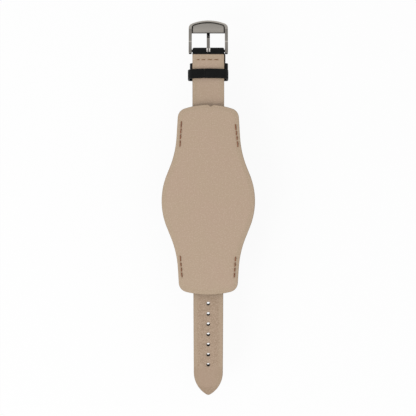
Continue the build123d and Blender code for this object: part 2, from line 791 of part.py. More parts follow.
with BuildPart() as buckle_frame:
    with BuildSketch(buckle_plan) as frame_plan:
        add(outer_outline)
        add(inner_outline, mode=Mode.SUBTRACT)
        rail_ends = frame_plan.vertices().group_by(Axis.Y)[0]
        fillet(rail_ends, radius=buckle_rail_end_radius)
    extrude(amount=buckle_rail_height / 2, both=True)
    # The side view: round rail ends, and a step down on the wrist side where the rails begin
    with BuildSketch(buckle_side) as rail_side:
        with BuildLine():
            half_height = buckle_rail_height / 2
            facet_z = half_height - buckle_facet_drop
            Polyline(
                (-buckle_rail_end, -half_height),
                (buckle_reach + overrun, -half_height),
                (buckle_reach + overrun, facet_z),
                (buckle_facet_start + buckle_facet_run, facet_z),
                (buckle_facet_start, half_height),
                (-buckle_rail_end, half_height),
                close=True,
            )
        make_face()
        fillet(rail_side.vertices().group_by(Axis.X)[0], radius=buckle_rail_end_radius)
    extrude(rail_side.sketch, amount=buckle_half_width + overrun, both=True, mode=Mode.INTERSECT)
    # Front plate, joined to the rim, on a thin web that leaves a groove beside each rail
    plate_half_width = buckle_inner_width / 2 - plate_end_gap
    for half_width, thickness in (
        (plate_half_width, plate_thickness),
        (buckle_half_width, plate_web_thickness),
    ):
        with BuildSketch(buckle_plan.offset(plate_front_z)) as plate:
            with Locations((0, plate_inner_reach + plate_depth / 2)):
                Rectangle(2 * half_width, plate_depth)
            add(outer_outline, mode=Mode.INTERSECT)
        extrude(plate.sketch, amount=thickness)
    # Blind holes for the bar's two pins
    hole_reach = buckle_inner_width / 2 + rail_hole_depth
    with BuildSketch(bar_plane(buckle_bar_y, 1)) as rail_hole:
        Circle(pin_tip_radius + rail_hole_clearance)
    extrude(rail_hole.sketch, amount=hole_reach, both=True, mode=Mode.SUBTRACT)
save(buckle_frame, "buckle_frame")

# Tang: an eye on the bar, a level stretch, then a bend that brings it under the plate
with BuildPart() as buckle_tang:
    with BuildSketch(buckle_side) as tang_section:
        with BuildLine():
            high = tang_thickness / 2 - tang_offset
            under = plate_front_z - tang_plate_gap
            upper_edge = [(0, high), (tang_level_reach, high), (tang_plate_reach, under), (tang_length, under)]
            lower_edge = [(y, z - tang_thickness) for y, z in upper_edge]
            FilletPolyline(*upper_edge, radius=tang_bend_radius)
            FilletPolyline(*lower_edge, radius=tang_bend_radius)
            Line(upper_edge[0], lower_edge[0])
            Line(upper_edge[-1], lower_edge[-1])
        make_face()
    extrude(tang_section.sketch, amount=tang_width / 2, both=True)
    with BuildSketch(buckle_side) as eye:
        Circle(tang_eye_radius)
    extrude(eye.sketch, amount=tang_eye_width / 2, both=True)
    with BuildSketch(buckle_side) as eye_bore:
        Circle(tube_radius + tang_eye_clearance)
    extrude(eye_bore.sketch, amount=tang_eye_width, both=True, mode=Mode.SUBTRACT)
    # Slit in the eye's wrist side, which shows the bar inside
    with BuildSketch(buckle_plan) as eye_slit:
        Rectangle(tang_eye_slit_width, tang_eye_slit_length)
    extrude(eye_slit.sketch, amount=tang_eye_radius + overrun, mode=Mode.SUBTRACT)
    upright = Axis(buckle_origin, buckle_z_dir)
    tip_corners = buckle_tang.edges().filter_by(upright).group_by(Axis.Y)[-1]
    fillet(tip_corners, radius=tang_tip_radius)
save(buckle_tang, "buckle_tang")

print("buckle lean in degrees", round(math.degrees(buckle_lean), 2))
print("droop radius", round(droop_wrist_radius, 1), "floor", round(floor_z, 2))
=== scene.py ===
"""Bund watch strap, dressed for the camera: leather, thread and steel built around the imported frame.

All sizes are in metres. The strap lies with its wrist side up, the pad's wrist face is z = 0,
and the buckle end points along +Y.
"""

import logging
import math
import random
from collections.abc import Callable, Sequence
from dataclasses import dataclass, field
from enum import Enum

import bmesh
import bpy
import numpy as np
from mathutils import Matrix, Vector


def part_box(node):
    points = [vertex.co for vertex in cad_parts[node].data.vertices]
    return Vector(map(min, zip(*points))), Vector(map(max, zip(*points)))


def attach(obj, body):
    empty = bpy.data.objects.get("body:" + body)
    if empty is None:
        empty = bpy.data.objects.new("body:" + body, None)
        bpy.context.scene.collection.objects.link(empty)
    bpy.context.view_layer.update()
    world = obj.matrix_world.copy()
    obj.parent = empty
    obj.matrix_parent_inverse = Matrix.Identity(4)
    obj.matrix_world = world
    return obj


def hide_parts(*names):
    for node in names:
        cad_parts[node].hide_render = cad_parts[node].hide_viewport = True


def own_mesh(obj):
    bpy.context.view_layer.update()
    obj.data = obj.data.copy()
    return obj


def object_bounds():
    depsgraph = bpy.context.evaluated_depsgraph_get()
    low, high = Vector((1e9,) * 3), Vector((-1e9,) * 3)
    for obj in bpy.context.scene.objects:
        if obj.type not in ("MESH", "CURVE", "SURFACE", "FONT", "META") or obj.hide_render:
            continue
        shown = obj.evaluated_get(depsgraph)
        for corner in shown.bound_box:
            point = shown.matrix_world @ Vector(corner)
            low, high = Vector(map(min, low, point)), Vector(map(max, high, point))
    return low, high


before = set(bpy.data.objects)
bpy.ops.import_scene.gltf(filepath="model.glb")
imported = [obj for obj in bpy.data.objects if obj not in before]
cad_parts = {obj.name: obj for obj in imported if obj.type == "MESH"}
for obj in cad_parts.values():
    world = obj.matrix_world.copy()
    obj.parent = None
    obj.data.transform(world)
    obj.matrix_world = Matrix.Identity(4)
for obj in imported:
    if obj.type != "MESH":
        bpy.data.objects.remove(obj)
cad_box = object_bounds()

log = logging.getLogger("bund_strap")

MM = 0.001

# Points nearer to each other than this are one point
TINY = 0.001 * MM
# A flat sheet is first made this thick each way, then its two faces are moved to their real levels
HALF_BLANK = 2 * MM
# A rounded edge takes at most this share of the leather's local thickness on each side
EDGE_ROOM_SHARE = 0.46
ROUNDING_STEPS = 4
BRIDGE_LEATHER = 2.0 * MM
KEEPER_LEATHER = 1.15 * MM
TAIL_THICKNESS = 2.4 * MM
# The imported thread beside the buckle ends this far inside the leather's front
THREAD_INSET = 0.05 * MM
# The turn of a rod that lies across the strap
ACROSS = (0, math.pi / 2, 0)

Heights = Callable[[np.ndarray, np.ndarray], np.ndarray]
Sockets = dict[str, bpy.types.NodeSocket]
Clouds = tuple[tuple[str, float, float, float], ...]
Tints = tuple[tuple[str, float, float, float, str], ...]
Ramp = tuple[str, float, float, float, float]
Reliefs = tuple[tuple[str, float, float], ...]
Values = tuple[tuple[str, float], ...]


class Side(Enum):
    """Which face of the strap something is on, as the sign of its z direction."""

    WRIST = 1
    FRONT = -1


# Finishes


def linear(hex_colour: str) -> tuple[float, float, float, float]:
    """Turns an sRGB hex colour into the linear colour that a socket takes.

    Args:
        hex_colour: Six hex digits after a hash sign.

    Returns:
        Red, green, blue and an alpha of one.
    """
    channels = [int(hex_colour[place:place + 2], 16) / 255 for place in (1, 3, 5)]
    red, green, blue = (
        c / 12.92 if c <= 0.04045 else ((c + 0.055) / 1.055) ** 2.4 for c in channels
    )
    return red, green, blue, 1.0


def add_node(
    tree: bpy.types.NodeTree,
    kind: str,
    values: dict[str | int, object] | None = None,
    links: dict[str | int, bpy.types.NodeSocket] | None = None,
    output: str | int = 0,
    **settings: object,
) -> bpy.types.NodeSocket:
    """Adds a node with its settings, its socket values and its incoming links.

    Args:
        tree: The node tree that takes the node.
        kind: The node's type name, after its common start.
        values: Default values by input socket.
        links: Output sockets of other nodes by input socket.
        output: The output that is wanted.
        **settings: Properties of the node itself.

    Returns:
        The wanted output socket.
    """
    node = tree.nodes.new(f"ShaderNode{kind}")
    for name, value in settings.items():
        setattr(node, name, value)
    for socket, value in (values or {}).items():
        node.inputs[socket].default_value = value
    for socket, source in (links or {}).items():
        tree.links.new(source, node.inputs[socket])
    return node.outputs[output]


@dataclass(frozen=True)
class Finish:
    """A surface with tints over its base colour, a roughness and reliefs, which follow patterns.

    A pattern is a cloud of noise, a mark that the pieces carry as an attribute, or one that the
    finish makes itself. A mark is zero on a piece without it.
    """

    name: str
    base: str
    marks: tuple[str, ...] = ()
    # Each cloud's name, size, detail and roughness
    clouds: Clouds = ()
    # Each tint's pattern, where in the pattern it starts and ends, its greatest share, and its colour
    tints: Tints = ()
    # The roughness's pattern, where in the pattern it starts and ends, and how rough it is there
    rough: Ramp | None = None
    # Each relief's pattern, depth and strength
    reliefs: Reliefs = ()
    # The shader's other sockets
    sockets: Values = ()

    def patterns(self, tree: bpy.types.NodeTree, coords: bpy.types.NodeSocket, known: Sockets) -> Sockets:
        """The patterns that the finish makes itself: none, unless it says otherwise."""
        return {}

    def build(self) -> bpy.types.Material:
        """Makes the material."""
        material = bpy.data.materials.new(self.name)
        material.use_nodes = True
        tree = material.node_tree
        shader = tree.nodes["Principled BSDF"]
        coords = add_node(tree, "TexCoord", output="Object")
        known = {mark: add_node(tree, "Attribute", output="Fac", attribute_name=mark) for mark in self.marks}
        for cloud, size, detail, roughness in self.clouds:
            values = {"Scale": 1 / size, "Detail": detail, "Roughness": roughness}
            known[cloud] = add_node(tree, "TexNoise", values, {"Vector": coords})
        known |= self.patterns(tree, coords, known)
        under = {}
        for pattern, start, end, most, tint in self.tints:
            values = {"From Min": start, "From Max": end, "To Max": most}
            share = add_node(tree, "MapRange", values, {"Value": known[pattern]})
            values = {6: linear(self.base), 7: linear(getattr(self, tint))}
            under = {6: add_node(tree, "Mix", values, {0: share} | under, 2, data_type="RGBA")}
        tree.links.new(under[6], shader.inputs["Base Color"])
        if self.rough:
            pattern, *ends = self.rough
            values = dict(zip(("From Min", "From Max", "To Min", "To Max"), ends))
            roughness = add_node(tree, "MapRange", values, {"Value": known[pattern]})
            tree.links.new(roughness, shader.inputs["Roughness"])
        for socket, value in self.sockets:
            shader.inputs[socket].default_value = value
        below = {}
        for pattern, depth, strength in self.reliefs:
            values = {"Distance": depth, "Strength": strength}
            below = {"Normal": add_node(tree, "Bump", values, {"Height": known[pattern]} | below)}
        tree.links.new(below["Normal"], shader.inputs["Normal"])
        return material


@dataclass(frozen=True)
class LiningLeather(Finish):
    """Vegetable-tanned calf lining, aniline dyed and plated smooth.

    The hot plate leaves a matt face with soft blotches where the hide was dyed more or less deeply.
    The bands along the edges are greener and faintly lined by the edge tool, the edge itself is
    burnished to grey brown, and the punched holes are dyed as black as the edges. Painted shade
    darkens the strap halves' lining, and a painted shadow darkens the pad's centre mark.
    """

    name: str = "lining_calf_natural"
    base: str = "#baa38d"
    warm: str = "#bba28e"
    even: str = "#b49e86"
    olive: str = "#b5a288"
    # The painted shade's colour on the strap halves' lining
    deeper: str = "#9c846f"
    speck: str = "#d3c2ab"
    valley: str = "#8f7861"
    burnish: str = "#84705c"
    # Also the painted shadow's colour at the pad's centre mark
    pressed: str = "#84634a"
    dyed: str = "#0b0b0b"
    marks: tuple[str, ...] = ("edge", "rim", "press_and_notch_shade", "grain", "painted_strap_shade", "ink")
    clouds: Clouds = (
        ("blotch", 22 * MM, 3.0, 0.55), ("mottle", 2.2 * MM, 3.0, 0.55), ("fibre", 0.75 * MM, 3.0, 0.55)
    )
    tints: Tints = (
        ("blotch", 0.38, 0.62, 1.0, "warm"),
        ("mottle", 0.3, 0.7, 0.3, "even"),
        ("band", 0.0, 1.0, 0.4, "olive"),
        ("lines", 0.2, 1.0, 0.16, "burnish"),
        ("pebble", 0.2, 0.5, 0.52, "valley"),
        ("fibre", 0.5, 0.65, 0.36, "speck"),
        # Painted shade on the strap halves' lining, deepest beyond the tail's last hole
        ("painted_strap_shade", 0.0, 1.0, 1.0, "deeper"),
        ("rim", 0.15, 1.0, 0.8, "burnish"),
        # Darker where stitches pull the leather in, and a painted shadow at the pad's centre mark
        ("press_and_notch_shade", 0.0, 1.0, 1.0, "pressed"),
        ("ink", 0.0, 1.0, 1.0, "dyed"),
    )
    rough: Ramp = ("mottle", 0.3, 0.7, 0.58, 0.7)
    reliefs: Reliefs = (("cells", 0.05 * MM, 0.5), ("fibre", 0.012 * MM, 0.6))
    sockets: Values = (("Specular IOR Level", 0.28), ("Sheen Weight", 0.05))
    # The pebble is drawn somewhat coarser than the real one, which the picture would not show
    pebble_size: float = 0.75 * MM
    # How much of the pebble shows on pressed and on open grain
    pebble_least: float = 0.12
    pebble_most: float = 0.75
    # Places measured from the edge, in millimetres, as the edge mark holds them
    band_start: float = 2.0
    band_end: float = 3.8
    line_pitch: float = 0.85

    def patterns(self, tree: bpy.types.NodeTree, coords: bpy.types.NodeSocket, known: Sockets) -> Sockets:
        """Makes the band along the edge with its fine lines, and the pebble of the grain.

        Args:
            tree: The material's node tree.
            coords: The object's own coordinates.
            known: The patterns made so far.

        Returns:
            The new patterns.
        """
        edge = known["edge"]
        cells = add_node(
            tree, "TexVoronoi", {"Scale": 1 / self.pebble_size, "Smoothness": 0.6}, {"Vector": coords},
            feature="SMOOTH_F1",
        )
        turns = add_node(tree, "Math", {1: 2 * math.pi / self.line_pitch}, {0: edge}, operation="MULTIPLY")
        wave = add_node(tree, "Math", links={0: turns}, operation="SINE")
        values = {"From Min": self.band_end, "From Max": self.band_start}
        band = add_node(tree, "MapRange", values, {"Value": edge})
        lines = add_node(tree, "Math", links={0: wave, 1: band}, operation="MULTIPLY")
        # The pebble shows more where the grain mark says that the hide was left unpressed
        values = {"To Min": self.pebble_least, "To Max": self.pebble_most}
        unpressed = add_node(tree, "MapRange", values, {"Value": known["grain"]})
        pebble = add_node(tree, "Math", links={0: cells, 1: unpressed}, operation="MULTIPLY")
        return {"cells": cells, "band": band, "lines": lines, "pebble": pebble}


@dataclass(frozen=True)
class FrontLeather(Finish):
    """Black full-grain calf with a pigmented top coat and painted edges.

    The grain breaks the light into small soft cells, and the edge paint is smoother and a little
    glossier than the face.
    """

    name: str = "front_calf_black"
    base: str = "#121313"
    valley: str = "#0a0b0b"
    worn: str = "#1a1b1b"
    marks: tuple[str, ...] = ("rim",)
    clouds: Clouds = (("wrinkles", 3.5 * MM, 5.0, 0.5),)
    tints: Tints = (
        ("cells", 0.35, 0.8, 1.0, "valley"), ("wrinkles", 0.5, 0.75, 0.5, "worn")
    )
    rough: Ramp = ("rim", 0.2, 1.0, 0.52, 0.5)
    reliefs: Reliefs = (("wrinkles", 0.12 * MM, 0.4), ("domes", 0.09 * MM, 0.5))
    sockets: Values = (("Specular IOR Level", 0.14),)
    grain_size: float = 0.6 * MM

    def patterns(self, tree: bpy.types.NodeTree, coords: bpy.types.NodeSocket, known: Sockets) -> Sockets:
        """Makes the cells of the grain and the domes that stand up in their middles.

        Args:
            tree: The material's node tree.
            coords: The object's own coordinates.
            known: The patterns made so far.

        Returns:
            The new patterns.
        """
        values = {"Scale": 1 / self.grain_size, "Randomness": 0.9}
        cells = add_node(tree, "TexVoronoi", values, {"Vector": coords}, feature="F1")
        values = {"From Max": 0.9, "To Min": 1.0, "To Max": 0.0}
        return {"cells": cells, "domes": add_node(tree, "MapRange", values, {"Value": cells})}


@dataclass(frozen=True)
class WaxedThread(Finish):
    """Bonded polyester thread, waxed, which gives each ply a soft shine and hides its filaments."""

    shade: str = ""
    clouds: Clouds = (
        ("tone", 1.6 * MM, 2.0, 0.5), ("filaments", 0.12 * MM, 3.0, 0.5)
    )
    tints: Tints = (("tone", 0.35, 0.65, 1.0, "shade"),)
    reliefs: Reliefs = (("filaments", 0.03 * MM, 0.5),)
    sockets: Values = (("Roughness", 0.6), ("Specular IOR Level", 0.25))


@dataclass(frozen=True)
class FibreBoard(Finish):
    """Bonded leather board, pressed from ground hide, which looks like dense brown paper."""

    name: str = "bonded_leather_board"
    base: str = "#8c765f"
    fleck: str = "#6a5542"
    clouds: Clouds = (("flecks", 0.5 * MM, 5.0, 0.5),)
    tints: Tints = (("flecks", 0.45, 0.65, 1.0, "fleck"),)
    reliefs: Reliefs = (("flecks", 0.05 * MM, 0.5),)
    sockets: Values = (("Roughness", 0.85),)


@dataclass(frozen=True)
class BrushedSteel(Finish):
    """Stainless steel brushed with a fine belt, so its scratches run one way and stretch highlights.

    Real belt scratches are finer than the picture shows, so they are drawn about three times as
    coarse. A painted highlight brightens the tang's eye, and painted shade darkens the steel's
    corners and crevices and the faces marked for it.
    """

    shade: str = ""
    # The painted highlight's colour, laid on the tang's eye
    painted_eye_highlight: str = "#f2eee8"
    # The painted shade's colour, in corners and on the faces marked for it
    corner: str = "#1c1a18"
    marks: tuple[str, ...] = ("painted_eye_highlight", "painted_face_shade")
    tints: Tints = (
        ("scratches", 0.3, 0.7, 1.0, "shade"),
        ("painted_eye_highlight", 0.0, 1.0, 1.0, "painted_eye_highlight"),
        ("painted_corner_shade", 0.0, 1.0, 1.0, "corner"),
    )
    rough: Ramp = ("scratches", 0.3, 0.7, 0.35, 0.46)
    reliefs: Reliefs = (("scratches", 0.01 * MM, 0.25),)
    sockets: Values = (("Metallic", 1.0), ("Anisotropic", 0.3))
    shade_reach: float = 1.1 * MM
    # Whether only the piece itself casts the painted shade into its corners
    alone: bool = True
    scratch_width: float = 0.12 * MM
    scratch_length: float = 9 * MM
    # The axis that the scratches run along
    along: int = 1

    def patterns(self, tree: bpy.types.NodeTree, coords: bpy.types.NodeSocket, known: Sockets) -> Sockets:
        """Makes the scratches, and the painted shade in the corners and on the faces marked for it.

        Args:
            tree: The material's node tree.
            coords: The object's own coordinates.
            known: The patterns made so far.

        Returns:
            The new patterns.
        """
        scale = [1 / self.scratch_width] * 3
        scale[self.along] = 1 / self.scratch_length
        stretched = add_node(tree, "Mapping", {"Scale": scale}, {"Vector": coords})
        values = {"Scale": 1.0, "Detail": 4.0, "Roughness": 0.6}
        scratches = add_node(tree, "TexNoise", values, {"Vector": stretched})
        # Painted shade: ambient occlusion darkens the steel in its corners and crevices
        near = add_node(
            tree, "AmbientOcclusion", {"Distance": self.shade_reach}, output="AO", samples=8,
            only_local=self.alone,
        )
        occlusion_shade = add_node(tree, "MapRange", {"From Min": 0.88, "From Max": 0.5}, {"Value": near})
        painted_corner_shade = add_node(tree, "Math", links={0: occlusion_shade, 1: known["painted_face_shade"]}, operation="MAXIMUM")
        return {"scratches": scratches, "painted_corner_shade": painted_corner_shade}


@dataclass
class Wardrobe:
    """Every finish of the strap, made once."""

    lining: bpy.types.Material = field(default_factory=LiningLeather().build)
    front: bpy.types.Material = field(default_factory=FrontLeather().build)
    board: bpy.types.Material = field(default_factory=FibreBoard().build)
    pad_thread: bpy.types.Material = field(
        default_factory=WaxedThread("waxed_thread_chestnut", "#93644a", shade="#7c523c").build
    )
    strap_thread: bpy.types.Material = field(
        default_factory=WaxedThread("waxed_thread_tan", "#98785a", shade="#8c6c50").build
    )
    black_thread: bpy.types.Material = field(
        default_factory=WaxedThread("waxed_thread_black", "#141414", shade="#0c0c0c").build
    )
    buckle: bpy.types.Material = field(
        default_factory=BrushedSteel("brushed_steel_buckle", "#c4beb6", shade="#b8b2aa").build
    )
    tang: bpy.types.Material = field(
        default_factory=BrushedSteel("brushed_steel_tang", "#9c9791", shade="#8a857f").build
    )
    bar: bpy.types.Material = field(
        default_factory=BrushedSteel(
            "drawn_steel_bar", "#b9b8b6", shade="#a5a4a2", rough=("scratches", 0.3, 0.7, 0.19, 0.3),
            alone=False, along=0,
        ).build
    )


# Outlines and paths


def coordinates(piece: bpy.types.Object) -> np.ndarray:
    """The piece's vertices as an array of points."""
    flat = np.zeros(len(piece.data.vertices) * 3)
    piece.data.vertices.foreach_get("co", flat)
    return flat.reshape(-1, 3)


def middle(node: str) -> np.ndarray:
    """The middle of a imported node's box."""
    return np.mean([tuple(corner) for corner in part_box(node)], axis=0)


def face_outline(node: str) -> np.ndarray:
    """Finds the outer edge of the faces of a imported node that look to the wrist.

    Args:
        node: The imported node.

    Returns:
        Plan points of the longest edge loop, in order.
    """
    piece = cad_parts[node]
    keys = [tuple(key) for key in np.round(coordinates(piece)[:, :2] / TINY).astype(int)]
    edges = set()
    for face in piece.data.polygons:
        if face.normal.z > 0.7:
            corners = [keys[index] for index in face.vertices]
            edges.update(zip(corners, corners[1:] + corners[:1]))
    following = {first: second for first, second in edges if (second, first) not in edges}
    longest, size = [], 0
    while following:
        loop = [next(iter(following))]
        while loop[-1] in following:
            loop.append(following.pop(loop[-1]))
        reach = np.ptp(np.array(loop), axis=0).sum()
        if reach > size:
            longest, size = loop, reach
    return np.array(longest[:-1], float) * TINY


def rectangle(low: tuple[float, float], high: tuple[float, float]) -> np.ndarray:
    """The corners of a rectangle, counter-clockwise."""
    return np.array([(high[0], low[1]), (high[0], high[1]), (low[0], high[1]), (low[0], low[1])])


def resample(loop: np.ndarray, spacing: float, corner: float = 0.0) -> np.ndarray:
    """Spreads points evenly along a closed loop, counter-clockwise from the middle of its far end.

    Args:
        loop: The loop's corners, in order.
        spacing: The wanted distance between points.
        corner: How far along the loop its sharp corners are rounded.

    Returns:
        An even number of points.
    """
    if corner:
        fine = corner / 5
        loop = resample(loop, fine)
        reach = round(3 * corner / fine)
        weights = np.exp(-0.5 * (np.arange(-reach, reach + 1) * fine / corner) ** 2)
        wide = np.vstack([loop[-reach:], loop, loop[:reach]])
        loop = np.column_stack([
            np.convolve(wide[:, axis], weights / weights.sum(), mode="valid") for axis in (0, 1)
        ])
    turned = loop - loop.mean(axis=0)
    following = np.roll(turned, -1, axis=0)
    if np.sum(turned[:, 0] * following[:, 1] - following[:, 0] * turned[:, 1]) < 0:
        loop = loop[::-1]
    closed = np.vstack([loop, loop[:1]])
    # The start is where the far end crosses the middle of the piece
    middle_x = (loop[:, 0].max() + loop[:, 0].min()) / 2
    best = None
    for place, (first, second) in enumerate(zip(closed, closed[1:])):
        if first[0] >= middle_x > second[0]:
            share = (first[0] - middle_x) / (first[0] - second[0])
            y = first[1] + share * (second[1] - first[1])
            if best is None or y > best[1]:
                best = (place, y)
    place, y = best
    path = np.vstack([[(middle_x, y)], closed[place + 1:-1], closed[:place + 1], [(middle_x, y)]])
    along = np.concatenate([[0], np.cumsum(np.linalg.norm(np.diff(path, axis=0), axis=1))])
    count = 2 * round(along[-1] / spacing / 2)
    wanted = np.linspace(0, along[-1], count, endpoint=False)
    return np.column_stack([np.interp(wanted, along, path[:, axis]) for axis in (0, 1)])


def rounded_path(corners: Sequence[tuple[float, float]], radii: Sequence[float]) -> np.ndarray:
    """Replaces the inner corners of an open path by tangent arcs.

    Args:
        corners: The path's corners, with its two ends.
        radii: The arc's radius at each inner corner.

    Returns:
        Points along the path, close together in the arcs.
    """
    arc_steps = 12
    ends = [np.array(corner) for corner in corners]
    points = [ends[0]]
    for before, corner, after, radius in zip(ends, ends[1:], ends[2:], radii):
        back = (before - corner) / np.linalg.norm(before - corner)
        ahead = (after - corner) / np.linalg.norm(after - corner)
        half = math.acos(float(np.clip(back @ ahead, -1, 1))) / 2
        centre = corner + (back + ahead) / np.linalg.norm(back + ahead) * radius / math.sin(half)
        start = corner + back * radius / math.tan(half) - centre
        end = corner + ahead * radius / math.tan(half) - centre
        turn = math.atan2(start[0] * end[1] - start[1] * end[0], start @ end)
        for step in range(arc_steps + 1):
            angle = turn * step / arc_steps
            cos, sin = math.cos(angle), math.sin(angle)
            points.append(centre + (start[0] * cos - start[1] * sin, start[0] * sin + start[1] * cos))
    return np.array([*points, ends[-1]])


@dataclass
class BendPath:
    """A path in the upright plane across the strap that a flat band of leather is bent along."""

    points: np.ndarray
    along: np.ndarray = field(init=False)

    def __post_init__(self) -> None:
        """Leaves out double points and measures the path."""
        steps = np.linalg.norm(np.diff(self.points, axis=0), axis=1)
        self.points = self.points[np.concatenate([[True], steps > TINY])]
        steps = np.linalg.norm(np.diff(self.points, axis=0), axis=1)
        self.along = np.concatenate([[0], np.cumsum(steps)])

    @property
    def length(self) -> float:
        """The path's whole length."""
        return float(self.along[-1])

    def at(self, distance: np.ndarray) -> np.ndarray:
        """The x and the z of the path at distances along it."""
        return np.array([np.interp(distance, self.along, self.points[:, axis]) for axis in (0, 1)])

    def place(self, distance: np.ndarray, height: np.ndarray) -> tuple[np.ndarray, np.ndarray]:
        """Bends flat places along the path.

        Args:
            distance: Distances along the path.
            height: Heights above it, to its left.

        Returns:
            The x and the z of each place.
        """
        reach = 0.12 * MM
        run = self.at(distance + reach) - self.at(distance - reach)
        run /= np.linalg.norm(run, axis=0)
        x, z = self.at(distance)
        return x - run[1] * height, z + run[0] * height


# Mesh work


def place_vertices(piece: bpy.types.Object, points: np.ndarray) -> None:
    """Moves the piece's vertices to the given points."""
    piece.data.vertices.foreach_set("co", points.ravel())
    piece.data.update()


def set_attribute(piece: bpy.types.Object, name: str, values: np.ndarray, domain: str = "POINT") -> None:
    """Stores one number for each vertex or each face under a name that the finishes read."""
    layer = piece.data.attributes.get(name) or piece.data.attributes.new(name, "FLOAT", domain)
    layer.data.foreach_set("value", values.astype(np.float32))


def edge_distance(points: np.ndarray, outline: np.ndarray) -> np.ndarray:
    """Measures how far plan points lie from a closed outline.

    Args:
        points: Plan points.
        outline: The outline's corners.

    Returns:
        One distance for each point.
    """
    start, end = outline, np.roll(outline, -1, axis=0)
    run = end - start
    long = np.maximum((run ** 2).sum(axis=1), 1e-18)
    found = np.empty(len(points))
    block = 2000
    for first in range(0, len(points), block):
        some = points[first:first + block, None, :]
        share = np.clip(((some - start) * run).sum(axis=2) / long, 0, 1)
        nearest = start + share[:, :, None] * run
        found[first:first + block] = np.sqrt(((some - nearest) ** 2).sum(axis=2).min(axis=1))
    return found


def select(piece: bpy.types.Object | None = None) -> None:
    """Selects one piece alone, or nothing."""
    bpy.ops.object.select_all(action="DESELECT")
    if piece:
        bpy.context.view_layer.objects.active = piece
        piece.select_set(True)


def edit(piece: bpy.types.Object) -> None:
    """Opens one piece alone in edit mode."""
    select(piece)
    bpy.ops.object.mode_set(mode="EDIT")


def link(name: str, data: bpy.types.ID) -> bpy.types.Object:
    """Puts a mesh, a curve, a lamp or a camera into the scene as an object."""
    piece = bpy.data.objects.new(name, data)
    bpy.context.scene.collection.objects.link(piece)
    return piece


def rod(
    place: tuple[float, float, float], turn: tuple[float, float, float], radius: float, length: float,
    sides: int = 40,
) -> bpy.types.Object:
    """Makes a rod that cuts a round hole.

    Args:
        place: The place of its middle.
        turn: The angles that turn it from upright.
        radius: Its radius.
        length: Its length.
        sides: How many flat sides it has.

    Returns:
        The rod.
    """
    select()
    bpy.ops.mesh.primitive_cylinder_add(
        vertices=sides, radius=radius, depth=length, location=place, rotation=turn
    )
    return bpy.context.object


def dress(
    piece: bpy.types.Object, material: bpy.types.Material, body: str, slot: str, *nodes: str
) -> bpy.types.Object:
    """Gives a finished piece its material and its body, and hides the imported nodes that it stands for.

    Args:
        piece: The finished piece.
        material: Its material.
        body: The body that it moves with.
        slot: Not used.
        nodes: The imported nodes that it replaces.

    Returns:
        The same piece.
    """
    piece.data.materials.clear()
    piece.data.materials.append(material)
    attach(piece, body)
    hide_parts(*nodes)
    log.info("%s: %d faces, for %s", piece.name, len(piece.data.polygons), ", ".join(nodes))
    return piece


def refined_copy(
    node: str, ending: str, bevel: float, material: bpy.types.Material, body: str, slot: str
) -> bpy.types.Object:
    """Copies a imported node, joins its loose triangles and breaks its sharp edges.

    Args:
        node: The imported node.
        ending: What the new piece's name adds to the node's.
        bevel: The width of the broken edge.
        material: Its finish.
        body: The body that it moves with.
        slot: The record's material slot.

    Returns:
        The refined piece.
    """
    name = f"{node}_{ending}"
    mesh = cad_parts[node].data.copy()
    mesh.name = name
    piece = link(name, mesh)
    edit(piece)
    bpy.ops.mesh.select_mode(type="VERT")
    bpy.ops.mesh.select_all(action="SELECT")
    bpy.ops.mesh.remove_doubles(threshold=2 * TINY)
    bpy.ops.mesh.dissolve_limited(angle_limit=math.radians(0.6))
    if bevel:
        bpy.ops.mesh.select_mode(type="EDGE")
        bpy.ops.mesh.select_all(action="DESELECT")
        bpy.ops.mesh.edges_select_sharp(sharpness=math.radians(35))
        bpy.ops.mesh.bevel(offset=bevel, segments=3, profile=0.5, clamp_overlap=True)
    bpy.ops.object.mode_set(mode="OBJECT")
    bpy.ops.object.shade_smooth_by_angle(angle=math.radians(30))
    return dress(piece, material, body, slot, node)


# Stitching


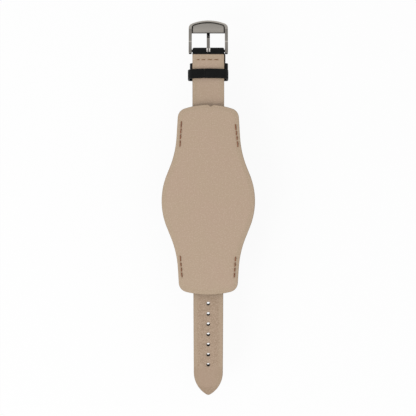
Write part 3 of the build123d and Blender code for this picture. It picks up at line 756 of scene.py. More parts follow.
@dataclass
class StitchRow:
    """A row of saddle stitches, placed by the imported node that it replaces.

    The stitches are given as shares of the row, from its low end, and the two shifts move the
    row's ends from where the node has them.
    """

    name: str
    body: str
    slot: str
    wrist_z: float
    front_z: float
    stitches: tuple[tuple[float, float], ...] = ((0.0, 0.24), (0.26, 0.49), (0.51, 0.74), (0.76, 1.0))
    low_shift: tuple[float, float] = (0.0, 0.0)
    high_shift: tuple[float, float] = (0.0, 0.0)
    thread_radius: float = 0.36 * MM
    ply_count: int = 3
    sunk: float = 0.05 * MM
    dive: float = 1.1 * MM
    twist_pitch: float = 1.5 * MM
    leg_radius: float = 0.3 * MM
    groove_depth: float = 0.09 * MM
    hole_depth: float = 0.28 * MM
    hole_width: float = 0.4 * MM
    spans: list[tuple[np.ndarray, np.ndarray]] = field(init=False)

    def __post_init__(self) -> None:
        """Finds where each stitch starts and ends from the node's two ends."""
        points = coordinates(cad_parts[self.name])[:, :2]
        axis = int(np.ptp(points[:, 1]) > np.ptp(points[:, 0]))
        lowest, highest = points[:, axis].min(), points[:, axis].max()
        ends = []
        for edge, inward, shift in (
            (lowest, self.leg_radius, self.low_shift), (highest, -self.leg_radius, self.high_shift)
        ):
            near = points[np.abs(points[:, axis] - edge) < 2 * self.leg_radius].mean(axis=0)
            near[axis] = edge + inward
            ends.append(near + np.array(shift))
        run = ends[1] - ends[0]
        self.spans = [(ends[0] + run * start, ends[0] + run * end) for start, end in self.stitches]

    def stitch_points(self, first: np.ndarray, second: np.ndarray, side: Side, lean: float) -> np.ndarray:
        """The middle line of one stitch, up out of one hole and down into the next.

        Args:
            first: The hole that it leaves.
            second: The hole that it enters.
            side: The face that it lies on.
            lean: How far the stitch is turned in its holes, as a distance.

        Returns:
            Points along the stitch.
        """
        run = second - first
        length = np.linalg.norm(run)
        run = run / length
        across = np.array([-run[1], run[0]])
        turn = np.linspace(0, math.pi, 29)
        along = (1 - np.cos(turn)) / 2 * (length - 0.7 * self.thread_radius) + 0.35 * self.thread_radius
        level = self.wrist_z if side is Side.WRIST else self.front_z
        rise = np.sin(turn) ** 0.4
        crown = self.thread_radius * 0.55 - self.sunk
        height = level + side.value * (crown * rise - self.dive * (1 - rise))
        plan = first + np.outer(along, run) + np.outer(lean * np.cos(turn), across)
        return np.column_stack([plan, height])

    def build(self, material: bpy.types.Material) -> None:
        """Lays the twisted thread of every stitch on both faces.

        Args:
            material: The thread's finish.
        """
        draw = random.Random(self.name)
        curve = bpy.data.curves.new(self.name, "CURVE")
        curve.dimensions = "3D"
        curve.bevel_depth = self.thread_radius * 0.56
        curve.bevel_resolution = 2
        curve.use_fill_caps = True
        for side in Side:
            for first, second in self.spans:
                lean = draw.uniform(-0.1, 0.1) * MM
                line = self.stitch_points(first, second, side, lean)
                self._add_plies(curve, line, draw.uniform(0, 2 * math.pi))
        select(link(f"{self.name}_thread", curve))
        bpy.ops.object.convert(target="MESH")
        bpy.ops.object.shade_smooth()
        dress(bpy.context.object, material, self.body, self.slot, self.name)

    def _add_plies(self, curve: bpy.types.Curve, line: np.ndarray, phase: float) -> None:
        """Adds the plies that twist round one stitch's middle line.

        Args:
            curve: The curve that takes them.
            line: The stitch's middle line.
            phase: The angle that the twist starts at.
        """
        run = np.gradient(line, axis=0)
        run /= np.linalg.norm(run, axis=1)[:, None]
        sideways = np.tile(np.cross(run[len(run) // 2], (0, 0, 1)), (len(run), 1))
        upright = np.cross(sideways, run)
        along = np.concatenate([[0], np.cumsum(np.linalg.norm(np.diff(line, axis=0), axis=1))])
        for ply in range(self.ply_count):
            angle = phase + 2 * math.pi * (ply / self.ply_count + along / self.twist_pitch)
            offset = np.cos(angle)[:, None] * sideways + np.sin(angle)[:, None] * upright
            points = line + offset * self.thread_radius * 0.48
            spline = curve.splines.new("POLY")
            spline.points.add(len(points) - 1)
            spline.points.foreach_set("co", np.column_stack([points, np.ones(len(points))]).ravel())

    def sink(self, plan: np.ndarray) -> tuple[np.ndarray, np.ndarray]:
        """How far the thread pulls the leather in, and how dark it is there.

        Args:
            plan: Plan points of the leather.

        Returns:
            The depth and the darkness at each point.
        """
        depth = np.zeros(len(plan))
        dark = np.zeros(len(plan))
        for first, second in self.spans:
            run = second - first
            share = np.clip((plan - first) @ run / (run @ run), 0, 1)
            off = np.linalg.norm(plan - (first + share[:, None] * run), axis=1)
            depth = np.maximum(depth, self.groove_depth * np.exp(-((off / (1.4 * self.hole_width)) ** 2)))
            for hole in (first, second):
                near = np.exp(-((np.linalg.norm(plan - hole, axis=1) / self.hole_width) ** 2))
                depth = np.maximum(depth, self.hole_depth * near)
                dark = np.maximum(dark, 0.6 * near)
        return depth, dark


def note_press(piece: bpy.types.Object, rows: Sequence[StitchRow], plan: np.ndarray | None = None) -> None:
    """Stores how dark the leather is where rows of stitches pull it in.

    Args:
        piece: The leather.
        rows: The rows.
        plan: Where each vertex lies in the rows' plan, if the piece was bent.
    """
    plan = coordinates(piece)[:, :2] if plan is None else plan
    dark = np.zeros(len(plan))
    for row in rows:
        dark = np.maximum(dark, row.sink(plan)[1])
    set_attribute(piece, "press_and_notch_shade", dark)


@dataclass
class LeatherSheet:
    """A piece of leather cut to an outline, with rounded edges and lines pressed beside them."""

    name: str
    outline: np.ndarray
    edge_radius: float = 0.3 * MM
    spacing: float = 0.55 * MM
    corner: float = 0.4 * MM
    creases: tuple[float, ...] = ()
    crease_width: float = 0.45 * MM
    crease_depth: float = 0.07 * MM
    rim_width: float = 0.45 * MM

    def blank(self) -> bpy.types.Object:
        """Cuts the flat sheet, with its two faces one blank's half thickness from z = 0.

        Returns:
            The closed sheet.
        """
        self.outline = resample(self.outline, self.spacing, self.corner)
        select()
        bpy.ops.mesh.primitive_circle_add(
            vertices=len(self.outline), radius=np.ptp(self.outline[:, 1]) / 2, fill_type="NGON"
        )
        piece = bpy.context.object
        piece.name = self.name
        piece.data.name = self.name
        wall_z = HALF_BLANK - self.edge_radius
        place_vertices(piece, np.column_stack([self.outline, np.full(len(self.outline), -wall_z)]))
        edit(piece)
        bpy.ops.mesh.select_mode(type="FACE")
        bpy.ops.mesh.select_all(action="SELECT")
        bpy.ops.mesh.extrude_region_move(TRANSFORM_OT_translate={"value": (0, 0, 2 * wall_z)})
        self._work_face()
        bpy.ops.mesh.select_all(action="SELECT")
        bpy.ops.mesh.normals_make_consistent(inside=False)
        bpy.ops.mesh.select_all(action="DESELECT")
        bpy.ops.object.mode_set(mode="OBJECT")
        max(piece.data.polygons, key=lambda face: len(face.vertices)).select = True
        edit(piece)
        self._work_face()
        bpy.ops.object.mode_set(mode="OBJECT")
        return piece

    def _work_face(self) -> None:
        """Rounds the selected face's edge and fills it with a grid."""
        quarter = [math.pi / 2 * step / ROUNDING_STEPS for step in range(ROUNDING_STEPS + 1)]
        for first, second in zip(quarter, quarter[1:]):
            bpy.ops.mesh.inset(
                thickness=self.edge_radius * (math.cos(first) - math.cos(second)),
                depth=self.edge_radius * (math.sin(second) - math.sin(first)),
            )
        bpy.ops.mesh.delete(type="ONLY_FACE")
        bpy.ops.mesh.select_mode(type="EDGE")
        bpy.ops.mesh.select_all(action="DESELECT")
        bpy.ops.mesh.select_non_manifold(
            extend=False, use_wire=False, use_boundary=True, use_multi_face=False,
            use_non_contiguous=False, use_verts=False,
        )
        shape = bmesh.from_edit_mesh(bpy.context.object.data)
        rim = [vertex for vertex in shape.verts if vertex.select]
        corner = max(rim, key=lambda vertex: 0.8 * vertex.co.x + vertex.co.y)
        far = [vertex.co for vertex in rim if vertex.co.y > corner.co.y - self.spacing / 4]
        across = sum(1 for place in far if abs(place.x) <= corner.co.x) - 1
        shape.select_history.clear()
        shape.select_history.add(corner)
        bpy.ops.mesh.fill_grid(span=max(4, across), offset=0)
        bpy.ops.mesh.select_mode(type="FACE")

    def lay(
        self,
        top: Heights | float,
        bottom: Heights | float,
        rows: Sequence[StitchRow] = (),
        side: Side = Side.WRIST,
        cutters: Sequence[bpy.types.Object] = (),
    ) -> bpy.types.Object:
        """Cuts the sheet, moves its two faces to their real levels and cuts its holes.

        Args:
            top: The level of the wrist face at plan points.
            bottom: The level of the front face at plan points.
            rows: The rows of stitches that pull one face in.
            side: The face that they pull in.
            cutters: Closed shapes that are cut out and removed.

        Returns:
            The finished sheet.
        """
        piece = self.blank()
        points = coordinates(piece)
        x, y, z = points.T
        high, low = (level(x, y) if callable(level) else np.full_like(x, level) for level in (top, bottom))
        for row in rows:
            depth = row.sink(points[:, :2])[0]
            if side is Side.WRIST:
                high = high - depth
            else:
                low = low + depth
        room = EDGE_ROOM_SHARE * np.maximum(high - low, 0)
        pressed = self.pressed(points[:, :2])
        from_top = np.minimum(HALF_BLANK - z + pressed, room)
        from_bottom = np.minimum(HALF_BLANK + z + pressed, room)
        points[:, 2] = np.where(z > 0, high - from_top, low + from_bottom)
        place_vertices(piece, points)
        for cutter in cutters:
            select(piece)
            modifier = piece.modifiers.new("cut", "BOOLEAN")
            modifier.operation = "DIFFERENCE"
            modifier.object = cutter
            modifier.solver = "EXACT"
            bpy.ops.object.modifier_apply(modifier=modifier.name)
            bpy.data.objects.remove(cutter)
        self.finish(piece, coordinates(piece)[:, :2])
        note_press(piece, rows)
        return piece

    def bent_height(self, flat: np.ndarray, half: float, sunk: np.ndarray | float = 0.0) -> np.ndarray:
        """How high a bent band's points stand above its middle, with its outer side pressed in.

        Args:
            flat: The blank's points.
            half: Half the leather's thickness.
            sunk: How much deeper stitches pull its outer side in.

        Returns:
            One height for each point.
        """
        outer = -half + (HALF_BLANK + flat[:, 2]) + self.pressed(flat[:, :2]) + sunk
        return np.where(flat[:, 2] > 0, half - (HALF_BLANK - flat[:, 2]), outer)

    def pressed(self, plan: np.ndarray) -> np.ndarray:
        """How deep the lines along the edge are pressed.

        Args:
            plan: Plan points of the flat sheet.

        Returns:
            One depth for each point.
        """
        depth = np.zeros(len(plan))
        if self.creases:
            distance = edge_distance(plan, self.outline)
            for place in self.creases:
                depth += self.crease_depth * np.exp(-(((distance - place) / (self.crease_width / 2)) ** 2))
        return depth

    def finish(self, piece: bpy.types.Object, plan: np.ndarray) -> None:
        """Smooths the piece and stores how near to the outline each vertex was cut, in two ways.

        Args:
            piece: The shaped piece.
            plan: Where each vertex lay in the flat sheet.
        """
        edit(piece)
        bpy.ops.mesh.select_all(action="SELECT")
        bpy.ops.mesh.normals_make_consistent(inside=False)
        bpy.ops.object.mode_set(mode="OBJECT")
        bpy.ops.object.shade_smooth_by_angle(angle=math.radians(40))
        distance = edge_distance(plan, self.outline)
        set_attribute(piece, "rim", np.clip(1 - distance / self.rim_width, 0, 1))
        set_attribute(piece, "edge", distance / MM)


# Sub-assemblies


@dataclass
class WristPad:
    """The wide pad: a beige lining and a black cover with a thin board between them."""

    wardrobe: Wardrobe
    rows: list[StitchRow]
    edge_y: float = field(default_factory=lambda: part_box("pad_lining")[1].y)
    notch_x: float = 1.6 * MM
    notch_width: float = 1.0 * MM
    notch_depth: float = 0.9 * MM
    wave_height: float = 0.05 * MM
    wave_x: float = 17 * MM
    wave_y: float = 23 * MM
    wave_start: float = 1.3
    roll_width: float = 1.6 * MM
    roll_depth: float = 0.14 * MM

    def outline(self) -> np.ndarray:
        """The pad's outline, with the small centre mark cut into its upper edge."""
        loop = resample(face_outline("pad_lining"), 0.3 * MM)
        top = loop[:, 1] > 0.9 * loop[:, 1].max()
        cut = self.notch_depth * np.exp(-(((loop[:, 0] - self.notch_x) / self.notch_width) ** 4))
        loop[:, 1] -= np.where(top, cut, 0)
        return loop

    def note_notch(self, piece: bpy.types.Object) -> None:
        """Paints a shadow on the leather at the centre mark.

        Args:
            piece: The lining.
        """
        points = coordinates(piece)
        across = (points[:, 0] - self.notch_x) / self.notch_width
        along = (points[:, 1] - self.edge_y) / self.notch_depth
        dark = np.exp(-(across ** 2) - along ** 2)
        known = np.zeros(len(points), np.float32)
        piece.data.attributes["press_and_notch_shade"].data.foreach_get("value", known)
        set_attribute(piece, "press_and_notch_shade", np.maximum(known, 0.9 * dark))

    def wrist_level(self, x: np.ndarray, y: np.ndarray) -> np.ndarray:
        """The lining's face, which waves a little and rolls off near the outline.

        Args:
            x: Plan places across the strap.
            y: Plan places along the strap.

        Returns:
            One measure for each place.
        """
        wave = self.wave_height * np.sin(x / self.wave_x + self.wave_start) * np.sin(y / self.wave_y)
        distance = edge_distance(np.column_stack([x, y]), resample(face_outline("pad_lining"), 1.5 * MM))
        return wave - self.roll_depth * np.exp(-((distance / self.roll_width) ** 2))

    def build(self) -> None:
        """Makes the lining, the cover and the board."""
        outline = self.outline()
        joint_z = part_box("pad_lining")[0].z
        sheet = LeatherSheet(
            "pad_lining_leather", outline, edge_radius=0.32 * MM, spacing=0.5 * MM, creases=(1.5 * MM,),
            crease_depth=0.05 * MM,
        )
        piece = sheet.lay(self.wrist_level, joint_z, self.rows)
        self.note_notch(piece)
        dress(piece, self.wardrobe.lining, "pad", "lining_leather", "pad_lining")

        sheet = LeatherSheet(
            "pad_cover_leather", outline, edge_radius=0.4 * MM, spacing=0.7 * MM, creases=(1.8 * MM,)
        )
        piece = sheet.lay(joint_z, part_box("pad_cover")[0].z)
        dress(piece, self.wardrobe.front, "pad", "front_leather", "pad_cover")

        low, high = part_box("pad_core")
        sheet = LeatherSheet(
            "pad_core_board", face_outline("pad_core"), edge_radius=0.1 * MM, spacing=1.2 * MM
        )
        dress(sheet.lay(high.z, low.z), self.wardrobe.board, "pad", "core_board", "pad_core")


@dataclass
class Bridge:
    """A leather band that arches over a strap half, with its two feet sewn to the pad."""

    name: str
    rows: list[StitchRow]
    bend_radius: float = 2.0 * MM
    arch_half_width: float = 10.9 * MM
    foot_half_width: float = 13.0 * MM

    def build(self, material: bpy.types.Material) -> None:
        """Cuts the band flat and bends it down over the arch.

        Args:
            material: The leather's finish.
        """
        low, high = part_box(self.name)
        half = BRIDGE_LEATHER / 2
        foot_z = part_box("pad_cover")[0].z - half
        arch_z = low.z + half
        slant = math.atan2(self.foot_half_width - self.arch_half_width, foot_z - arch_z)
        shift = half * math.tan((math.pi / 2 - slant) / 2)
        far = high.x + 2 * MM
        foot_x, arch_x = self.foot_half_width + shift, self.arch_half_width + shift
        right = [(far, foot_z), (foot_x, foot_z), (arch_x, arch_z)]
        corners = [(-x, z) for x, z in right] + right[::-1]
        path = BendPath(rounded_path(corners, [self.bend_radius] * 4))
        # The feet end at the pad's outline, which curves
        outline = face_outline("pad_lining")
        side = outline[outline[:, 0] > 0]
        side = side[np.argsort(side[:, 1])]
        y_places = np.linspace(low.y, high.y, 24)
        extra = path.length / 2 - far
        reach = np.interp(y_places, side[:, 1], side[:, 0]) + extra
        loop = np.vstack([
            np.column_stack([reach, y_places]), np.column_stack([-reach[::-1], y_places[::-1]])
        ])
        band = LeatherSheet(f"{self.name}_leather", loop, edge_radius=0.45 * MM, creases=(1.3 * MM,))
        piece = band.blank()
        flat = coordinates(piece)
        plan = flat[:, :2]
        foot_plan = np.column_stack([np.sign(plan[:, 0]) * (np.abs(plan[:, 0]) - extra), plan[:, 1]])
        sunk = sum(row.sink(foot_plan)[0] for row in self.rows)
        x, z = path.place(plan[:, 0] + path.length / 2, band.bent_height(flat, half, sunk))
        place_vertices(piece, np.column_stack([x, plan[:, 1], z]))
        band.finish(piece, plan)
        note_press(piece, self.rows, foot_plan)
        dress(piece, material, "pad", "front_leather", self.name)


@dataclass
class Levels:
    """The heights along a strap half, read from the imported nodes."""

    lug_y: float
    end_front_z: float
    direction: int
    wrist_z: float = field(default_factory=lambda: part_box("buckle_strap_lining")[1].z)
    joint_z: float = field(default_factory=lambda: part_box("buckle_strap_lining")[0].z)
    lug_front_z: float = field(default_factory=lambda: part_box("buckle_strap_cover")[0].z)
    bar_z: float = field(default_factory=lambda: middle("buckle_bar_tube")[2])
    pad_edge: float = field(default_factory=lambda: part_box("pad_lining")[1].y)
    padding_start: float = 8.5 * MM
    lining_setback: float = 2.4 * MM
    skive: float = 0.7 * MM
    # The share of the leather that is left at a skived end
    skive_left: float = 0.12

    @property
    def loop_radius(self) -> float:
        """The radius of the fold round a bar."""
        return self.bar_z - self.lug_front_z

    def out(self, y: np.ndarray) -> np.ndarray:
        """Distances from the lug bar towards the strap's far end."""
        return (y - self.lug_y) * self.direction

    def fold(self, distance: np.ndarray) -> np.ndarray:
        """Half the thickness of a round fold at a distance beyond its bar."""
        return np.sqrt(np.clip(self.loop_radius ** 2 - np.maximum(distance, 0) ** 2, 0, None))

    def slope(self, beyond: np.ndarray, least: float = 0.0) -> np.ndarray:
        """The level of a skived end, from the wrist face down to the joint of the two leathers.

        Args:
            beyond: Distances from where the skived end starts.
            least: The least share of the way down.

        Returns:
            One level for each distance.
        """
        return self.wrist_z + (self.joint_z - self.wrist_z) * np.clip(beyond / self.skive, least, 1)

    def cover_top(self, out: np.ndarray) -> np.ndarray:
        """The cover's wrist side near the lug: it runs under the lining, then over the fold."""
        return np.where(out < 0, self.bar_z + self.fold(-out), self.slope(out - self.lining_setback))

    def cover_bottom(self, out: np.ndarray) -> np.ndarray:
        """The cover's front side: thick at the lug, then thinning to the pad's edge.

        Args:
            out: Distances from the lug bar.

        Returns:
            One level for each distance.
        """
        reach = self.pad_edge - abs(self.lug_y)
        share = np.clip((out - self.padding_start) / (reach - self.padding_start), 0, 1)
        share = share * share * (3 - 2 * share) * 0.4 + share * 0.6
        level = self.lug_front_z + (self.end_front_z - self.lug_front_z) * share
        return np.where(out < 0, self.bar_z - self.fold(-out), level)

    def lining_bottom(self, out: np.ndarray) -> np.ndarray:
        """The lining's under side, skived thin where it ends beside the fold."""
        return self.slope(out - self.lining_setback, self.skive_left)


@dataclass
class StrapHalf:
    """One half of the strap: a lining and a cover, sewn together over a filler."""

    name: str
    wardrobe: Wardrobe
    levels: Levels
    rows: list[StitchRow]
    bore_radius: float = 0.98 * MM
    bore_length: float = 30 * MM
    # How much of the pebble shows where the leather was pressed, and how much painted shade darkens the
    # lining
    grain: float = 0.2
    painted_strap_shade: float = 0.2

    def bore(self, y: float) -> bpy.types.Object:
        """A rod that cuts the bore for a bar."""
        return rod((0, y, self.levels.bar_z), ACROSS, self.bore_radius, self.bore_length)

    def lay_lining(
        self,
        outline: np.ndarray,
        top: Heights | float,
        bottom: Heights,
        cutters: Sequence[bpy.types.Object] = (),
    ) -> bpy.types.Object:
        """Makes the lining.

        Args:
            outline: Its outline.
            top: The level of its wrist face.
            bottom: The level of its under side.
            cutters: Shapes that are cut out of it.

        Returns:
            The lining.
        """
        sheet = LeatherSheet(
            f"{self.name}_lining_leather", outline, edge_radius=0.26 * MM, spacing=0.5 * MM,
            creases=(1.3 * MM, 3.1 * MM), crease_depth=0.05 * MM,
        )
        piece = sheet.lay(top, bottom, self.rows, Side.WRIST, cutters)
        return dress(piece, self.wardrobe.lining, self.name, "lining_leather", f"{self.name}_lining")

    def lay_cover(
        self,
        outline: np.ndarray,
        top: Heights,
        bottom: Heights,
        cutters: Sequence[bpy.types.Object],
        spacing: float,
    ) -> None:
        """Makes the cover, and the filler inside it.

        Args:
            outline: The cover's outline.
            top: The level of its wrist side.
            bottom: The level of its front side.
            cutters: Shapes that are cut out of it.
            spacing: The distance between its mesh points.
        """
        sheet = LeatherSheet(f"{self.name}_cover_leather", outline, spacing=spacing, creases=(1.4 * MM,))
        piece = sheet.lay(top, bottom, self.rows, Side.FRONT, cutters)
        dress(piece, self.wardrobe.front, self.name, "front_leather", f"{self.name}_cover")
        refined_copy(
            f"{self.name}_filler", "board", 0.15 * MM, self.wardrobe.board, self.name, "filler_board"
        )


@dataclass
class BuckleStrap(StrapHalf):
    """The short strap half, with a cover folded round the buckle's bar."""

    buckle_y: float = field(default_factory=lambda: middle("buckle_bar_tube")[1])
    lining_end: float = field(default_factory=lambda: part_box("buckle_strap_lining")[1].y)
    # How far from the buckle's bar the levels of this end hold
    end_run: float = 8.0 * MM
    fold_run: float = 6.0 * MM
    left_corner: tuple[float, float] = (0.7 * MM, 1.0 * MM)
    right_corner: tuple[float, float] = (0.6 * MM, 1.0 * MM)
    eye_room: tuple[float, float] = (1.31 * MM, 1.68 * MM)
    slot_half_width: float = 1.08 * MM
    slot_front_length: float = 3.25 * MM
    slot_over: float = 1.5 * MM
    proud: float = 0.8 * MM
    proud_start: float = 7.6 * MM
    proud_end: float = 2.6 * MM
    painted_strap_shade: float = 0.1
    # The painted shade fades out towards the buckle
    shade_fade_start: float = 70 * MM
    shade_fade_run: float = 10 * MM

    def outline(self) -> np.ndarray:
        """The cover's outline, with the cut corners of the fold and its right edge a little proud."""
        low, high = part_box("buckle_strap_cover")
        return np.array([
            (high.x, low.y),
            (high.x, self.buckle_y - 1.4 * self.proud_start),
            (high.x + self.proud, self.buckle_y - self.proud_start),
            (high.x + self.proud, self.buckle_y - self.proud_end),
            (high.x, self.buckle_y - self.proud_end + self.proud),
            (high.x, high.y - self.right_corner[1]),
            (high.x - self.right_corner[0], high.y),
            (low.x + self.left_corner[0], high.y),
            (low.x, high.y - self.left_corner[1]),
            (low.x, low.y),
        ])

    def lining_bottom(self, x: np.ndarray, y: np.ndarray) -> np.ndarray:
        """The lining's under side, skived at both ends."""
        levels = self.levels
        end = levels.slope(self.lining_end - y, levels.skive_left)
        return np.maximum(levels.lining_bottom(levels.out(y)), end)

    def cover_top(self, x: np.ndarray, y: np.ndarray) -> np.ndarray:
        """The cover's wrist side from one fold to the other.

        Args:
            x: Plan places across the strap.
            y: Plan places along the strap.

        Returns:
            One measure for each place.
        """
        levels = self.levels
        back = self.buckle_y - y
        far = np.where(back < 0, levels.bar_z + levels.fold(-back), levels.slope(self.lining_end - y))
        return np.where(back < self.end_run, far, levels.cover_top(levels.out(y)))

    def cover_bottom(self, x: np.ndarray, y: np.ndarray) -> np.ndarray:
        """The cover's front side from one fold to the other.

        Args:
            x: Plan places across the strap.
            y: Plan places along the strap.

        Returns:
            One measure for each place.
        """
        levels = self.levels
        back = self.buckle_y - y
        share = np.clip((self.fold_run - back) / self.fold_run, 0, 1)
        share = share * share * (3 - 2 * share)
        swell = levels.end_front_z + (levels.bar_z - levels.loop_radius - levels.end_front_z) * share
        far = np.where(back < 0, levels.bar_z - levels.fold(-back), swell)
        return np.where(back < self.end_run, far, levels.cover_bottom(levels.out(y)))

    def cutters(self) -> list[bpy.types.Object]:
        """The bars' bores, the round room for the tang's eye and the slot that the tang swings in."""
        bar_z = self.levels.bar_z
        far = self.levels.loop_radius + self.slot_over
        half_width, eye_radius = self.eye_room
        found = [
            self.bore(self.levels.lug_y),
            self.bore(self.buckle_y),
            rod((0, self.buckle_y, bar_z), ACROSS, eye_radius, 2 * half_width),
        ]
        for half, low_y, high_y, low_z, high_z in (
            (half_width, -eye_radius, eye_radius, 0.0, far),
            (self.slot_half_width, 0.0, far, -far, far),
            (self.slot_half_width, -self.slot_front_length, far, -far, 0.0),
        ):
            select()
            bpy.ops.mesh.primitive_cube_add(
                size=1, location=(0, self.buckle_y + (low_y + high_y) / 2, bar_z + (low_z + high_z) / 2),
                scale=(2 * half, high_y - low_y, high_z - low_z),
            )
            found.append(bpy.context.object)
        return found

    def build(self) -> None:
        """Makes the lining, the filler and the cover."""
        low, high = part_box("buckle_strap_lining")
        shape = rectangle((low.x, low.y), (high.x, high.y))
        piece = self.lay_lining(shape, self.levels.wrist_z, self.lining_bottom)
        shade_fade = np.clip((coordinates(piece)[:, 1] - self.shade_fade_start) / self.shade_fade_run, 0, 1)
        set_attribute(piece, "painted_strap_shade", self.painted_strap_shade * (1 - shade_fade))
        set_attribute(piece, "grain", np.full_like(shade_fade, self.grain))
        self.lay_cover(self.outline(), self.cover_top, self.cover_bottom, self.cutters(), 0.45 * MM)


@dataclass
class TailStrap(StrapHalf):
    """The long strap half, with seven punched holes and a pointed end."""

    hole_radius: float = 1.1 * MM
    hole_count: int = 7
    hole_pitch: float = 6.5 * MM
    last_hole_y: float = -104.35 * MM
    # How deep and how wide the punch presses the leather down round a hole
    dip_depth: float = 0.1 * MM
    dip_width: float = 0.45 * MM
    punch_length: float = 8 * MM
    # The dye lies on the holes' walls below this depth, and stains the face a little beside them
    wall_depth: float = 0.12 * MM
    wall_reach: float = 0.3 * MM
    stain: float = 0.35
    stain_reach: float = 0.2 * MM
    # The grain is open between the edge bands, but for a pressed stretch beyond the last hole
    open_half_width: float = 7.6 * MM
    open_fade: float = 1.2 * MM
    pressed_start: float = 2.5 * MM
    pressed_end: float = 13 * MM
    pressed_fade: float = 2 * MM
    # The painted shade is deeper beyond the last hole
    tip_painted_shade: float = 0.25
    # The cover crept a little in the press, so its holes are tighter and lie off the lining's
    cover_hole_radius: float = 1.0 * MM
    cover_hole_shift: tuple[float, float] = (-0.1 * MM, 0.42 * MM)
    droop_radius: float = field(init=False)

    def __post_init__(self) -> None:
        """Works out how the tail curves down from the pad's edge to its tip."""
        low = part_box("tail_strap_cover")[0]
        run = self.levels.pad_edge - abs(low.y)
        drop = self.levels.end_front_z - low.z
        self.droop_radius = (run ** 2 + drop ** 2) / (2 * drop)

    @property
    def hole_places(self) -> list[float]:
        """The holes' places along the strap."""
        return [self.last_hole_y + place * self.hole_pitch for place in range(self.hole_count)]

    def droop(self, y: np.ndarray | float) -> np.ndarray | float:
        """How far the tail has curved down at places beyond the pad's edge."""
        beyond = np.clip(-y - self.levels.pad_edge, 0, None)
        return self.droop_radius - np.sqrt(self.droop_radius ** 2 - beyond ** 2)

    def hole_dip(self, x: np.ndarray, y: np.ndarray) -> np.ndarray:
        """How far the punch has pressed the leather down round each hole.

        Args:
            x: Plan places across the strap.
            y: Plan places along the strap.

        Returns:
            One measure for each place.
        """
        dip = np.zeros_like(x)
        for hole_y in self.hole_places:
            away = np.maximum(np.hypot(x, y - hole_y) - self.hole_radius, 0)
            dip += self.dip_depth * np.exp(-((away / self.dip_width) ** 2))
        return dip

    def punches(self, radius: float, shift: tuple[float, float] = (0.0, 0.0)) -> list[bpy.types.Object]:
        """Makes rods that punch the holes square to the drooping strap.

        Args:
            radius: The punch's radius.
            shift: How far the layer's holes lie off their places.

        Returns:
            One rod for each hole.
        """
        found = []
        for hole_y in self.hole_places:
            slope = math.asin((-hole_y - self.levels.pad_edge) / self.droop_radius)
            place = (shift[0], hole_y + shift[1], self.levels.joint_z - self.droop(hole_y))
            found.append(rod(place, (slope, 0, 0), radius, self.punch_length, 36))
        return found

    def wrist_level(self, x: np.ndarray, y: np.ndarray) -> np.ndarray:
        """The lining's face, which follows the droop and dips at the holes."""
        return self.levels.wrist_z - self.droop(y) - self.hole_dip(x, y)

    def under_level(self, x: np.ndarray, y: np.ndarray) -> np.ndarray:
        """The lining's under side."""
        return self.levels.lining_bottom(self.levels.out(y)) - self.droop(y)

    def cover_top(self, x: np.ndarray, y: np.ndarray) -> np.ndarray:
        """The cover's wrist side."""
        return self.levels.cover_top(self.levels.out(y)) - self.droop(y)

    def cover_bottom(self, x: np.ndarray, y: np.ndarray) -> np.ndarray:
        """The cover's front side, dimpled at the holes."""
        return self.levels.cover_bottom(self.levels.out(y)) - self.droop(y) + self.hole_dip(x, y)

    def note_holes(self, piece: bpy.types.Object) -> None:
        """Marks the black on the punched walls, where the grain is open, and the painted shade on the lining.

        Args:
            piece: The lining.
        """
        x, y, z = coordinates(piece).T
        level = self.wrist_level(x, y)
        ink = np.zeros(len(x))
        for hole_y in self.hole_places:
            away = np.hypot(x, y - hole_y) - self.hole_radius
            on_wall = (np.abs(away) < self.wall_reach) & (z < level - self.wall_depth)
            stain = self.stain * np.exp(-((away / self.stain_reach) ** 2))
            ink = np.maximum(ink, np.where(on_wall, 1.0, stain))
        set_attribute(piece, "ink", ink)
        inner = np.clip((self.open_half_width - np.abs(x)) / self.open_fade, 0, 1)
        upper = np.clip((y - self.last_hole_y + self.pressed_start) / self.pressed_fade, 0, 1)
        tip = np.clip((self.last_hole_y - self.pressed_end - y) / self.pressed_fade, 0, 1)
        set_attribute(piece, "grain", self.grain + (1 - self.grain) * inner * np.maximum(upper, tip))
        set_attribute(piece, "painted_strap_shade", self.painted_strap_shade + self.tip_painted_shade * (1 - upper))

    def build(self) -> None:
        """Makes the lining, the filler and the cover."""
        shape = face_outline("tail_strap_lining")
        punches = self.punches(self.hole_radius)
        self.note_holes(self.lay_lining(shape, self.wrist_level, self.under_level, punches))
        # The cover reaches past the lining's end, round the lug bar
        longer = shape.copy()
        longer[longer[:, 1] > shape[:, 1].max() - 0.1 * MM, 1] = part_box("tail_strap_cover")[1].y
        cutters = [*self.punches(self.cover_hole_radius, self.cover_hole_shift), self.bore(self.levels.lug_y)]
        self.lay_cover(longer, self.cover_top, self.cover_bottom, cutters, 0.5 * MM)


